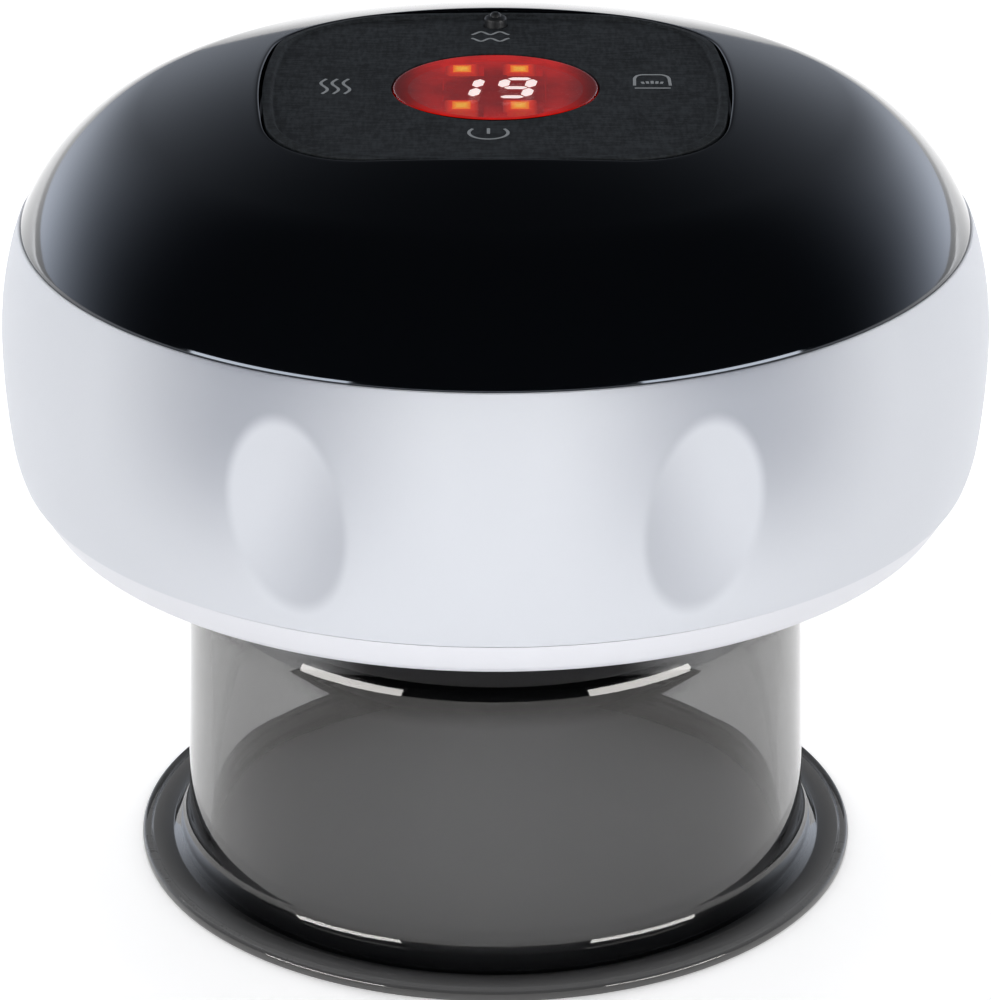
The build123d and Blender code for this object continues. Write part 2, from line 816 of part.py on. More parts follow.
def control_pad():
    foot = tray_top_z + pad_lift
    body = pad_form(0, foot, pad_edge_z)
    body -= pad_form(-pad_edge_width, pad_top_z, pad_edge_z + overrun)
    body &= head_form(dome_inset)
    body -= rod(lens_radius + lens_gap, 0, crown_z)
    body -= rod(status_radius + fit_gap, 0, crown_z, 0, status_y)
    switch_top = board_top_z + switch_height + plunger_cap_rise
    for x, y in button_places().values():
        body += rod(pip_radius, switch_top + seat_gap, pad_top_z - pad_thickness / 2, x, y)
    return body


def display_lens():
    body = rod(lens_radius, tray_top_z, pad_top_z)
    body -= rod(lens_radius - lens_skirt, tray_top_z - overrun, pad_top_z - lens_plate)
    cap_radius = (lens_radius ** 2 + lens_crown ** 2) / (2 * lens_crown)
    cap = Pos(0, 0, pad_top_z + lens_crown - cap_radius) * Sphere(cap_radius)
    return body + (cap & rod(lens_radius, pad_top_z - overrun / 2, pad_top_z + overrun))


def status_light():
    body = rod(status_radius, tray_top_z, pad_top_z + status_rise - status_radius / 2, 0, status_y)
    dome_top = Pos(0, status_y, pad_top_z + status_rise - status_radius / 2) * Sphere(status_radius)
    return body + (dome_top & rod(status_radius, pad_top_z, crown_z, 0, status_y))


# Main board with what stands on it

def board_chips():
    # Controller, charger and driver chips on the underside
    chips = []
    for x_share, y_share, width_share, depth_share in chip_shares:
        x, y = x_share * board_radius, y_share * board_radius
        half_x, half_y = width_share * board_radius / 2, depth_share * board_radius / 2
        chips.append(block(x - half_x, x + half_x, y - half_y, y + half_y, board_z - chip_height, board_z))
    return chips


def main_board():
    # A disc with an ear out to each post
    body = rod(board_radius, board_z, board_top_z)
    for angle in board_post_angles:
        ear = block(0, board_post_ring, -board_post_radius, board_post_radius, board_z, board_top_z)
        ear += rod(board_post_radius, board_z, board_top_z, board_post_ring)
        body += Rot(0, 0, angle) * ear
    for chip in board_chips():
        body += chip
    for angle in board_post_angles:
        body -= rod(screw_radius + fit_gap, 0, crown_z, *polar(board_post_ring, angle))
    return body


def switch_bodies():
    bodies = []
    for x, y in button_places().values():
        half = switch_size / 2
        body = block(x - half, x + half, y - half, y + half, board_top_z, board_top_z + switch_height)
        well = plunger_cap_radius + fit_gap
        body -= rod(well, board_top_z + switch_height / 2 - switch_travel - fit_gap, crown_z, x, y)
        bodies.append(body)
    return bodies


def switch_plunger(name):
    x, y = button_places()[name]
    top = board_top_z + switch_height + plunger_cap_rise
    return rod(plunger_cap_radius, board_top_z + switch_height / 2, top, x, y)


def display_face():
    return pad_top_z - lens_plate - display_gap


def digit_top():
    return display_face() - segment_rise


def display_module():
    half_x = digit_block_width / 2
    half_y = digit_block_depth / 2
    return block(digit_centre_x - half_x, digit_centre_x + half_x, -half_y, half_y, board_top_z, digit_top())


def digit_segments():
    # Seven slanted bars for each of two digits
    long_bar = (digit_height - segment_width) / 2 - 2 * segment_gap
    cross_bar = digit_width - segment_width - 2 * segment_gap
    rise = (digit_height - segment_width) / 4
    side = (digit_width - segment_width) / 2
    places = [(0, 2 * rise, 0), (0, 0, 0), (0, -2 * rise, 0), (-side, rise, 90), (side, rise, 90),
              (-side, -rise, 90), (side, -rise, 90)]
    slant = tan(radians(digit_slant))
    bars = []
    for digit in [-0.5, 0.5]:
        for x, y, turn in places:
            length = long_bar if turn else cross_bar
            bar = Rot(0, 0, turn - (digit_slant if turn else 0)) * Box(length - segment_gap, segment_width,
                                                                     segment_rise)
            centre = digit_centre_x + digit * digit_pitch + x + y * slant
            bars.append(Pos(centre, y, digit_top() + segment_rise / 2) * bar)
    return bars


def indicator_places():
    return [(sx * indicator_x, sy * indicator_y) for sx in [-1, 1] for sy in [-1, 1]]


def indicator_lights():
    lamps = []
    for x, y in indicator_places():
        top = digit_top() - indicator_drop
        lamps.append(block(x - indicator_width / 2, x + indicator_width / 2, y - indicator_depth / 2,
                           y + indicator_depth / 2, top - indicator_height, top))
    return lamps


def display_shroud():
    body = rod(shroud_radius, board_top_z, display_face())
    half_x = digit_block_width / 2 + fit_gap
    half_y = digit_block_depth / 2 + fit_gap
    body -= block(digit_centre_x - half_x, digit_centre_x + half_x, -half_y, half_y, 0, crown_z)
    for x, y in indicator_places():
        half_x, half_y = indicator_window_width / 2, indicator_window_depth / 2
        body -= block(x - half_x, x + half_x, y - half_y, y + half_y,
                      digit_top() - indicator_drop - indicator_height, crown_z)
    return body


# Battery

def battery():
    x0 = cell_x - cell_length / 2
    body = rod_x(cell_radius, x0, x0 + cell_length, cell_y, cell_z)
    return body + rod_x(cell_cap_radius, x0 - cell_cap_height, x0 + cell_lap, cell_y, cell_z)


def battery_foam():
    # Two pads between the battery and the board, hollowed to the cell
    pads = []
    for share in [-cell_rest_share, cell_rest_share]:
        x = cell_x + share * cell_length
        half = saddle_width
        top = board_z - seat_gap
        pad = block(x - half, x + half, cell_y - cell_radius / 2, cell_y + cell_radius / 2,
                    cell_z + cell_radius / 2, top)
        pads.append(pad - rod_x(cell_radius + fit_gap, x - cell_length, x + cell_length, cell_y, cell_z))
    return pads


# Pump motor

def motor_can():
    x0, x1 = motor_face_x, motor_face_x + motor_length
    body = rod_x(motor_radius, x0, x1, pump_y, pump_z)
    body -= rod_x(motor_radius - motor_wall, x0 + motor_wall, x1 + overrun, pump_y, pump_z)
    body += rod_x(motor_nose_radius, x0 - motor_nose_length, x0 + motor_wall, pump_y, pump_z)
    return body - rod_x(bearing_radius, x0 - motor_nose_length - overrun, x0 + overrun, pump_y, pump_z)


def motor_bearings():
    front = motor_face_x - motor_nose_length + fit_gap
    rear = motor_face_x + motor_length + fit_gap
    bore = shaft_radius + bearing_gap
    outer = bearing_radius
    return [ring_x(bore, outer, x, x + bearing_length, pump_y, pump_z) for x in [front, rear]]


def motor_end_cap():
    x0 = motor_face_x + motor_length
    body = rod_x(motor_radius, x0, x0 + motor_cap_length, pump_y, pump_z)
    body += rod_x(motor_radius - motor_wall - fit_gap, x0 - end_cap_spigot, x0, pump_y, pump_z)
    body -= rod_x(core_hub_radius, x0 - end_cap_spigot - overrun, x0, pump_y, pump_z)
    body -= rod_x(bearing_radius, x0 - overrun, x0 + bearing_length + fit_gap, pump_y, pump_z)
    for side in [-1, 1]:
        y = pump_y + side * terminal_spread
        half_y, half_z = terminal_width / 2 + bearing_gap, terminal_thickness / 2 + bearing_gap
        body -= block(x0 + motor_cap_length - terminal_seat, x0 + 2 * motor_cap_length, y - half_y,
                      y + half_y, pump_z - half_z, pump_z + half_z)
    return body


def motor_terminals():
    x1 = motor_face_x + motor_length + motor_cap_length
    tabs = []
    for side in [-1, 1]:
        y = pump_y + side * terminal_spread
        tabs.append(block(x1 - terminal_seat, x1 + terminal_length, y - terminal_width / 2,
                          y + terminal_width / 2, pump_z - terminal_thickness / 2,
                          pump_z + terminal_thickness / 2))
    return tabs


core_radius = motor_radius - motor_wall - magnet_wall - air_gap
core_x0 = motor_face_x + core_setback
core_x1 = core_x0 + core_length


def motor_magnets():
    outer = motor_radius - motor_wall
    x0 = (core_x0 + core_x1) / 2 - magnet_length / 2
    tube = ring_x(outer - magnet_wall, outer, x0, x0 + magnet_length, pump_y, pump_z)
    # A wedge of the magnet's sweep, cut from the tube on each side
    half = magnet_sweep / 2
    far = 2 * outer
    corners = [(0, 0), polar(far, -half), (2 * far, 0), polar(far, half)]
    magnets = []
    for turn in [0, 180]:
        wedge = extrude(make_face(Polyline(*corners, close=True)), magnet_length / 2 + overrun, both=True)
        wedge = Pos(x0 + magnet_length / 2, pump_y, pump_z) * Rot(0, 90, 0) * Rot(0, 0, turn) * wedge
        magnets.append(tube & wedge)
    return magnets


def around_axis(shape, turns):
    # Copies of a shape turned about the pump's axis
    centre = Pos(0, pump_y, pump_z)
    return [centre * Rot(turn, 0, 0) * shape for turn in turns]


def motor_core():
    x0, x1 = core_x0, core_x1
    hub = ring_x(shaft_radius, core_hub_radius, x0, x1, pump_y, pump_z)
    shoe = core_radius - shoe_thickness
    teeth = ring_x(shoe, core_radius, x0, x1, pump_y, pump_z)
    tooth = block(x0, x1, -tooth_width / 2, tooth_width / 2, core_hub_radius - shoe_thickness / 4,
                  core_radius - shoe_thickness / 2)
    opening = block(x0 - overrun, x1 + overrun, -core_slot_width / 2, core_slot_width / 2,
                    shoe - shoe_thickness / 2, core_radius + overrun)
    for slot in around_axis(opening, core_slot_angles):
        teeth -= slot
    body = hub + teeth
    for arm in around_axis(tooth, core_tooth_angles):
        body += arm
    return body


def motor_windings():
    # One coil round each tooth, as a rounded frame that stands out at both ends
    x0, x1 = core_x0 - winding_overhang, core_x1 + winding_overhang
    z0 = core_hub_radius + bearing_gap
    z1 = z0 + (core_radius - shoe_thickness - core_hub_radius) * winding_share
    half = tooth_width / 2 + bearing_gap
    coil = block(x0, x1, -half - winding_thickness, half + winding_thickness, z0, z1)
    coil = fillet(coil.edges().filter_by(Axis.Z), winding_thickness)
    coil -= block(core_x0 - bearing_gap, core_x1 + bearing_gap, -half, half, z0 - overrun, z1 + overrun)
    return around_axis(coil, core_tooth_angles)


def commutator():
    x0 = core_x1 + winding_overhang + fit_gap
    return ring_x(shaft_radius, commutator_radius, x0, x0 + commutator_length, pump_y, pump_z)


eccentric_x1 = motor_face_x - motor_nose_length - eccentric_gap
eccentric_x0 = eccentric_x1 - eccentric_length


def motor_shaft():
    rear = motor_face_x + motor_length + bearing_length
    return rod_x(shaft_radius, eccentric_x0 + crank_seat + fit_gap, rear, pump_y, pump_z)


# Pump

def crank_line():
    # Place and tilt of the crank pin, whose line meets the shaft's axis at the pivot
    start = (eccentric_x0 + crank_seat, crank_offset)
    pivot_x = motor_face_x - crank_pivot
    end_x = motor_face_x - crank_reach
    end = (end_x, crank_offset * (end_x - pivot_x) / (start[0] - pivot_x))
    return start, end


def crank_pin_at(radius):
    (x0, z0), (x1, z1) = crank_line()
    path = Line((x0, pump_y, pump_z + z0), (x1, pump_y, pump_z + z1))
    return sweep(Plane(origin=path @ 0, z_dir=path % 0) * Circle(radius), path=path)


def eccentric_wheel():
    body = ring_x(shaft_radius, eccentric_radius, eccentric_x0, eccentric_x1, pump_y, pump_z)
    return body - crank_pin_at(crank_radius)


def crank_pin():
    return crank_pin_at(crank_radius)


def pump_screw_holes(radius, x0, x1):
    return around_axis(rod_x(radius, x0, x1, 0, pump_screw_ring), pump_screw_angles)


def pump_bracket():
    x0, x1 = bracket_x, motor_face_x
    body = rod_x(pump_radius, x0, x1, pump_y, pump_z)
    body -= rod_x(pump_radius - pump_wall, x0 - overrun, x1 - cover_roof, pump_y, pump_z)
    body -= rod_x(motor_nose_radius + fit_gap / 2, x0, x1 + overrun, pump_y, pump_z)
    for hole in pump_screw_holes(pump_screw_radius + bearing_gap, x0 - overrun, x1 - cover_roof):
        body -= hole
    return body


chamber_turns = [i * 360 / chamber_count for i in range(chamber_count)]


def wobble_plate():
    x1 = motor_face_x - wobble_face
    x0 = x1 - wobble_thickness
    body = rod_x(wobble_hub_radius, x0, x1, pump_y, pump_z)
    arm = block(x0, x1, -wobble_arm_width / 2, wobble_arm_width / 2, 0, wobble_seat_ring)
    seat = rod_x(wobble_seat_radius, x0, x1, 0, wobble_seat_ring)
    for piece in around_axis(arm + seat, chamber_turns):
        body += piece
    return body - rod_x(wobble_bore, x0 - overrun, x1 + overrun, pump_y, pump_z)


def pump_diaphragm():
    x0 = diaphragm_x
    body = rod_x(pump_radius, x0, bracket_x, pump_y, pump_z)
    chamber = rod_x(chamber_radius, x0, bracket_x + chamber_height, 0, wobble_seat_ring)
    for bulge in around_axis(chamber, chamber_turns):
        body += bulge
    hollow = rod_x(chamber_radius - diaphragm_wall, x0 - overrun, bracket_x, 0, wobble_seat_ring)
    for space in around_axis(hollow, chamber_turns):
        body -= space
    for hole in pump_screw_holes(pump_screw_radius + bearing_gap, x0 - overrun, bracket_x + overrun):
        body -= hole
    return body


def pump_valve_plate():
    x0, x1 = valve_plate_x, diaphragm_x
    body = rod_x(pump_radius, x0, x1, pump_y, pump_z)
    for offset in [-2 * valve_hole_radius, 2 * valve_hole_radius]:
        port = rod_x(valve_hole_radius, x0 - overrun, x1 + overrun, offset, wobble_seat_ring)
        for hole in around_axis(port, chamber_turns):
            body -= hole
    for hole in pump_screw_holes(pump_screw_radius + bearing_gap, x0 - overrun, x1 + overrun):
        body -= hole
    return body


def pump_flap_valves():
    flap = rod_x(flap_radius, valve_plate_x - flap_thickness, valve_plate_x, 0, wobble_seat_ring)
    return around_axis(flap, chamber_turns)


def inlet_span():
    # Along Y: from the tee's hose end to inside the cover
    return tee_radius + fit_gap + hose_overlap / 2, pump_y - pump_radius + pump_wall


def pump_cover():
    x0, x1 = cover_x, valve_plate_x
    body = rod_x(pump_radius, x0, x1, pump_y, pump_z)
    body -= rod_x(pump_radius - pump_wall, x0 + cover_roof, x1 + overrun, pump_y, pump_z)
    y0, y1 = inlet_span()
    inlet = rod_y(barb_radius, y0, pump_y - pump_radius / 2, tee_x, air_z)
    body += inlet - rod_x(pump_radius - pump_wall / 2, x0 - overrun, x1 + overrun, pump_y, pump_z)
    outlet_z = pump_z - outlet_drop
    body += rod_x(barb_radius, x0 - outlet_length, x0 + cover_roof / 2, pump_y, outlet_z)
    body -= rod_y(nozzle_bore, y0 - overrun, y1 + overrun, tee_x, air_z)
    body -= rod_x(nozzle_bore, x0 - outlet_length - overrun, x0 + cover_roof + overrun, pump_y, outlet_z)
    for hole in pump_screw_holes(pump_screw_radius + bearing_gap, x0 - overrun, x1 + overrun):
        body -= hole
    return body


def pump_screws():
    head = rod_x(pump_screw_head, cover_x - pump_screw_head, cover_x, 0, pump_screw_ring)
    head -= block(cover_x - 2 * pump_screw_head, cover_x - pump_screw_head / 2, -pump_screw_head,
                  pump_screw_head, pump_screw_ring - cross_width / 2, pump_screw_ring + cross_width / 2)
    shank = rod_x(pump_screw_radius, cover_x - pump_screw_head / 2, motor_face_x - cover_roof - fit_gap, 0,
                  pump_screw_ring)
    return around_axis(head + shank, pump_screw_angles)


# Air line

hose_bore = hose_radius - hose_wall


def tee_fitting():
    body_reach = tee_reach * tee_body_share
    body = rod_x(tee_radius, tee_x - body_reach, tee_x + body_reach, 0, air_z)
    body += rod_x(barb_radius, tee_x - tee_reach, tee_x + tee_reach, 0, air_z)
    body += rod_y(barb_radius, 0, inlet_span()[0] - fit_gap, tee_x, air_z)
    body -= rod_x(nozzle_bore, tee_x - tee_reach - overrun, tee_x + tee_reach + overrun, 0, air_z)
    return body - rod_y(nozzle_bore, 0, inlet_span()[0] + overrun, tee_x, air_z)


def tube_along(path):
    section = Plane(origin=path @ 0, z_dir=path % 0)
    outside = sweep(section * Circle(hose_radius), path=path)
    return outside - sweep(section * Circle(hose_bore), path=path)


def suction_hose():
    start_z = chassis_z + 2 * seat_gap + fit_gap
    end_x = tee_x + tee_reach * tee_body_share + fit_gap
    route = FilletPolyline((0, 0, start_z), (0, 0, air_z), (end_x, 0, air_z), radius=hose_bend)
    return tube_along(route)


def pump_hose():
    y1 = pump_y - pump_radius * cos(radians(inlet_angle)) - fit_gap
    body = rod_y(hose_radius, tee_radius + fit_gap, y1, tee_x, air_z)
    body -= rod_y(hose_bore, 0, pump_y, tee_x, air_z)
    return body - rod_x(pump_radius + fit_gap, cover_x - overrun, valve_plate_x + overrun, pump_y, pump_z)


def valve_hose():
    x1 = tee_x - tee_reach * tee_body_share - fit_gap
    return ring_x(hose_bore, hose_radius, valve_x1 + fit_gap, x1, 0, air_z)


# Release valve

stop_x = valve_x0 - stop_depth
coil_x1 = valve_x0 + valve_plate + fit_gap + (valve_length - 2 * valve_plate) * coil_share
coil_radius = valve_height / 2 - valve_plate - fit_gap
seat_x = valve_x1 - valve_plate - fit_gap
plunger_x0 = stop_x + plunger_travel + fit_gap
plunger_x1 = seat_x - valve_plate - fit_gap
plunger_bore_x = (plunger_x0 + plunger_x1) / 2


def valve_frame():
    # Steel strap bent round the coil on three sides, with the nozzle's hole in its front
    half = valve_width / 2
    z1 = valve_z0 + valve_height
    body = block(valve_x0, valve_x1, -half, half, valve_z0, z1)
    body -= block(valve_x0 + valve_plate, valve_x1 - valve_plate, -valve_width, valve_width,
                  valve_z0 + valve_plate, z1 + overrun)
    body -= rod_x(barb_radius + fit_gap, valve_x1 - 2 * valve_plate, valve_x1 + overrun, 0, air_z)
    # Cap at the coil's back end that the spring pushes against
    body += rod_x(valve_nose_radius, stop_x - valve_plate, valve_x0 + valve_plate / 2, 0, air_z)
    return body - rod_x(plunger_radius + fit_gap, stop_x, valve_x0 + 2 * valve_plate, 0, air_z)


def valve_coil():
    return ring_x(coil_bore + fit_gap, coil_radius, valve_x0 + valve_plate + fit_gap, coil_x1, 0, air_z)


def valve_body():
    # Nozzle and seat at the front of the coil
    x0 = coil_x1 + fit_gap
    body = rod_x(coil_radius, x0, seat_x, 0, air_z)
    body -= rod_x(coil_bore + fit_gap, x0 - overrun, seat_x - valve_plate, 0, air_z)
    body += rod_x(barb_radius, seat_x - overrun, valve_x1 + valve_gap - fit_gap, 0, air_z)
    return body - rod_x(nozzle_bore, x0 - overrun, valve_x1 + valve_gap + overrun, 0, air_z)


def valve_plunger():
    body = rod_x(plunger_radius, plunger_x0, plunger_x1, 0, air_z)
    return body - rod_x(plunger_bore, plunger_x0 - overrun, plunger_bore_x, 0, air_z)


def valve_spring():
    # At its pressed length, so that the plunger's travel ends where it touches
    x0 = stop_x + spring_wire
    x1 = plunger_bore_x - plunger_travel - spring_wire
    pitch = (x1 - x0) / spring_turns
    path = Pos(x0, 0, air_z) * Rot(0, 90, 0) * Helix(pitch, x1 - x0, spring_coil_radius)
    return sweep(Plane(origin=path @ 0, z_dir=path % 0) * Circle(spring_wire / 2), path=path)


# Charge board and USB socket

def charge_board():
    half = charge_board_width / 2
    return block(-half, half, charge_y0, charge_y1, charge_board_z, charge_board_z + charge_board_thickness)


def usb_socket():
    def tube(width, height, y0, y1):
        profile = RectangleRounded(width, height, height / 2 - bearing_gap)
        return Pos(0, y1, usb_z) * Rot(90, 0, 0) * extrude(profile, y1 - y0)
    y1 = usb_mouth_y
    y0 = y1 - usb_length
    body = tube(usb_width, usb_height, y0, y1)
    body -= tube(usb_width - 2 * usb_wall, usb_height - 2 * usb_wall, y0 + usb_back_wall, y1 + overrun)
    half_x, half_z = usb_tongue_width / 2, usb_tongue_height / 2
    return body + block(-half_x, half_x, y0 + usb_back_wall / 2, y1 - usb_tongue_setback, usb_z - half_z,
                        usb_z + half_z)


# Wires

def wire(*points):
    route = FilletPolyline(*points, radius=wire_bend)
    return sweep(Plane(origin=route @ 0, z_dir=route % 0) * Circle(wire_radius), path=route)


def wires():
    # A pair from the motor and one from each end of the battery, up to the board
    x0 = motor_face_x + motor_length + motor_cap_length + terminal_length * wire_foot_share
    x1 = x0 + wire_lead + 2 * wire_bend
    leads = []
    for side in [-1, 1]:
        y = pump_y + side * terminal_spread
        z0 = pump_z + terminal_thickness / 2 + wire_radius
        leads.append(wire((x0, y, z0), (x1, y, z0), (x1, y, board_z)))
    side_y = cell_y - cell_radius * wire_side_share
    half = cell_length / 2 + wire_radius
    for x in [cell_x - half - cell_cap_height, cell_x + half]:
        leads.append(wire((x, cell_y, cell_z), (x, side_y, cell_z + cell_radius * wire_rise_share),
                          (x, side_y, board_z)))
    return leads


def save(name, shape):
    # One file per node; a list holds alike pieces that share the node
    if isinstance(shape, list):
        shape = Compound(children=[Part(s.wrapped) if not isinstance(s, Part) else s for s in shape])
    shape.label = name
    export_step(shape, "parts/" + name + ".step")
    return shape


def assembly():
    nodes = {
        "cup": cup(),
        "cup_seal_ring": cup_seal_ring(),
        "base_cover": base_cover(),
        "base_screws": base_screws(),
        "light_lens": light_lens(),
        "heater_plate": heater_plate(),
        "temperature_sensor": temperature_sensor(),
        "light_reflector": light_reflector(),
        "light_board": light_board(),
        "treatment_lights": treatment_lights(),
        "suction_nozzle": suction_nozzle(),
        "air_filter": air_filter(),
        "filter_cap": filter_cap(),
        "chassis": chassis(),
        "inner_screws": inner_screws(),
        "main_shell": main_shell(),
        "dome": dome(),
        "control_pad": control_pad(),
        "display_lens": display_lens(),
        "status_light": status_light(),
        "main_board": main_board(),
        "switch_bodies": switch_bodies(),
        "display_module": display_module(),
        "digit_segments": digit_segments(),
        "indicator_lights": indicator_lights(),
        "display_shroud": display_shroud(),
        "battery": battery(),
        "battery_foam": battery_foam(),
        "motor_can": motor_can(),
        "motor_bearings": motor_bearings(),
        "motor_end_cap": motor_end_cap(),
        "motor_terminals": motor_terminals(),
        "motor_magnets": motor_magnets(),
        "wires": wires(),
        "motor_core": motor_core(),
        "motor_windings": motor_windings(),
        "commutator": commutator(),
        "motor_shaft": motor_shaft(),
        "eccentric_wheel": eccentric_wheel(),
        "crank_pin": crank_pin(),
        "pump_bracket": pump_bracket(),
        "wobble_plate": wobble_plate(),
        "pump_diaphragm": pump_diaphragm(),
        "pump_valve_plate": pump_valve_plate(),
        "pump_flap_valves": pump_flap_valves(),
        "pump_cover": pump_cover(),
        "pump_screws": pump_screws(),
        "air_line_hoses": [suction_hose(), pump_hose(), valve_hose()],
        "tee_fitting": tee_fitting(),
        "valve_frame": valve_frame(),
        "valve_coil": valve_coil(),
        "valve_body": valve_body(),
        "valve_plunger": valve_plunger(),
        "valve_spring": valve_spring(),
        "charge_board": charge_board(),
        "usb_socket": usb_socket(),
    }
    return nodes


if __name__ == "__main__":
    os.makedirs("parts", exist_ok=True)
    for node_name, node_shape in assembly().items():
        save(node_name, node_shape)
    for plunger_name in button_places():
        save(plunger_name + "_plunger", switch_plunger(plunger_name))
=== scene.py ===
import json
from math import sin, cos, tan, atan2, radians, degrees, pi, hypot, ceil, sqrt

import bpy
import bmesh
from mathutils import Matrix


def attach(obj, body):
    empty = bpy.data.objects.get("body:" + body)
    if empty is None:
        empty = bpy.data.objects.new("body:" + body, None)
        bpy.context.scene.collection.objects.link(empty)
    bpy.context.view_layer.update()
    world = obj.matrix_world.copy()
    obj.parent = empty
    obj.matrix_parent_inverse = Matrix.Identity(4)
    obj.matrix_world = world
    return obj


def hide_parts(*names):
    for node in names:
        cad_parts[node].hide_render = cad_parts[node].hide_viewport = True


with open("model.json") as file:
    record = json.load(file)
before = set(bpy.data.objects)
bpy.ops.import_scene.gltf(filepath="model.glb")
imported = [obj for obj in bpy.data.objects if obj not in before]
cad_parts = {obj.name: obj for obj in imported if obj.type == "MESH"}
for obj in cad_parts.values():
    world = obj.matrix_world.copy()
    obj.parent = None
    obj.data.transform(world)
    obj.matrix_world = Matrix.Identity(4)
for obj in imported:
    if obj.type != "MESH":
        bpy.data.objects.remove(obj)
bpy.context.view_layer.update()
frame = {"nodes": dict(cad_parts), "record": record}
nodes = frame["nodes"]
print("frame loaded,", len(nodes), "nodes")

# Pieces are drawn in millimetres and brought to metres when they are finished
mm = 0.001
hair = 0.001
mergeWithin = 0.002


# Small helpers

def leaveEdit():
    bpy.ops.object.mode_set(mode="OBJECT")


def deselectAll():
    if bpy.context.mode != "OBJECT":
        leaveEdit()
    bpy.ops.object.select_all(action="DESELECT")


def pick(piece):
    deselectAll()
    piece.select_set(True)
    bpy.context.view_layer.objects.active = piece


def editAll(piece):
    pick(piece)
    bpy.ops.object.mode_set(mode="EDIT")
    bpy.ops.mesh.select_mode(type="VERT")
    bpy.ops.mesh.select_all(action="SELECT")


def selectWhere(piece, kind, test):
    # selects the vertices, edges or faces for which the test holds
    bpy.ops.mesh.select_all(action="DESELECT")
    bpy.ops.mesh.select_mode(type={"verts": "VERT", "edges": "EDGE", "faces": "FACE"}[kind])
    mesh = bmesh.from_edit_mesh(piece.data)
    for item in getattr(mesh, kind):
        if test(item):
            item.select_set(True)
    mesh.select_flush_mode()
    bmesh.update_edit_mesh(piece.data)


def extrude(x, y, z):
    bpy.ops.mesh.extrude_region_move(TRANSFORM_OT_translate={"value": (x, y, z)})


def applyTransform():
    bpy.ops.object.transform_apply(location=True, rotation=True, scale=True)


def closeUp(piece):
    # merges doubles and turns the faces outwards
    editAll(piece)
    bpy.ops.mesh.remove_doubles(threshold=mergeWithin)
    bpy.ops.mesh.normals_make_consistent(inside=False)
    leaveEdit()


def applyModifier(piece, kind, **settings):
    pick(piece)
    modifier = piece.modifiers.new(kind.title(), kind)
    for name, value in settings.items():
        setattr(modifier, name, value)
    bpy.ops.object.modifier_apply(modifier=modifier.name)


def cutWith(piece, cutter):
    applyModifier(piece, "BOOLEAN", operation="DIFFERENCE", solver="EXACT", object=cutter)
    bpy.data.objects.remove(cutter)


def joinPieces(name, pieces):
    deselectAll()
    for piece in pieces:
        piece.select_set(True)
    bpy.context.view_layer.objects.active = pieces[0]
    bpy.ops.object.join()
    pieces[0].name = name
    return pieces[0]


def finishPiece(piece, material, body, replaced=(), angle=32):
    # to metres, origin at the frame's origin, then onto its body
    pick(piece)
    applyTransform()
    piece.scale = (mm, mm, mm)
    applyTransform()
    bpy.ops.object.shade_smooth_by_angle(angle=radians(angle))
    piece.data.materials.clear()
    piece.data.materials.append(material)
    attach(piece, body)
    if replaced:
        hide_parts(*replaced)
    return piece


def addBox(place, size):
    deselectAll()
    bpy.ops.mesh.primitive_cube_add(size=1, location=place)
    piece = bpy.context.object
    piece.scale = size
    applyTransform()
    return piece


def addCylinder(radius, height, place):
    deselectAll()
    bpy.ops.mesh.primitive_cylinder_add(vertices=48, radius=radius, depth=height, location=place)
    return bpy.context.object


def drawChain(name, points):
    # one vertex, extruded from point to point
    deselectAll()
    bpy.ops.mesh.primitive_plane_add(size=1, location=(0, 0, 0))
    piece = bpy.context.object
    piece.name = name
    editAll(piece)
    bpy.ops.mesh.merge(type="CENTER")
    bpy.ops.transform.translate(value=points[0])
    for here, point in zip(points, points[1:]):
        extrude(*[b - a for a, b in zip(here, point)])
    return piece


def lathe(name, profile, steps):
    # profile is a list of (radius, height), spun about Z
    piece = drawChain(name, [(r, 0, z) for r, z in profile])
    bpy.ops.mesh.select_all(action="SELECT")
    bpy.ops.mesh.spin(steps=steps, angle=2 * pi, center=(0, 0, 0), axis=(0, 0, 1))
    leaveEdit()
    closeUp(piece)
    return piece


def arcPoints(centre, radius, fromAngle, toAngle, count):
    points = []
    for i in range(count + 1):
        a = radians(fromAngle + (toAngle - fromAngle) * i / count)
        points.append((centre[0] + radius * cos(a), centre[1] + radius * sin(a)))
    return points


def fourPlaces(ring, z):
    # on a ring: right, back, left and front
    turns = [radians(90 * turn) for turn in range(4)]
    return [(ring * cos(a), ring * sin(a), z) for a in turns]


# Camera, at the photograph's viewing angle

view = {"place": (0, -0.3992, 0.2123), "pitch": 23.8, "lens": 159.0, "sensor": 36, "nearest": 0.01}


def makeCamera():
    deselectAll()
    turn = (radians(90 - view["pitch"]), 0, 0)
    bpy.ops.object.camera_add(location=view["place"], rotation=turn)
    camera = bpy.context.object
    camera.data.lens = view["lens"]
    camera.data.sensor_width = view["sensor"]
    camera.data.sensor_fit = "AUTO"
    camera.data.clip_start = view["nearest"]
    bpy.context.scene.camera = camera


makeCamera()


# Material helpers

def linear(r, g, b):
    # a colour as a screen shows it, 0 to 255, made linear
    out = []
    for value in (r, g, b):
        v = value / 255
        out.append(v / 12.92 if v <= 0.04045 else ((v + 0.055) / 1.055) ** 2.4)
    return (*out, 1)


def blank(name, **sockets):
    # sockets are named with _ for a space
    material = bpy.data.materials.new(name)
    material.use_nodes = True
    shader = material.node_tree.nodes["Principled BSDF"]
    for socket, value in sockets.items():
        shader.inputs[socket.replace("_", " ")].default_value = value
    return material, material.node_tree, shader


def addNode(tree, kind, **settings):
    node = tree.nodes.new(kind)
    for name, value in settings.items():
        if name in node.inputs:
            node.inputs[name].default_value = value
        else:
            setattr(node, name, value)
    return node


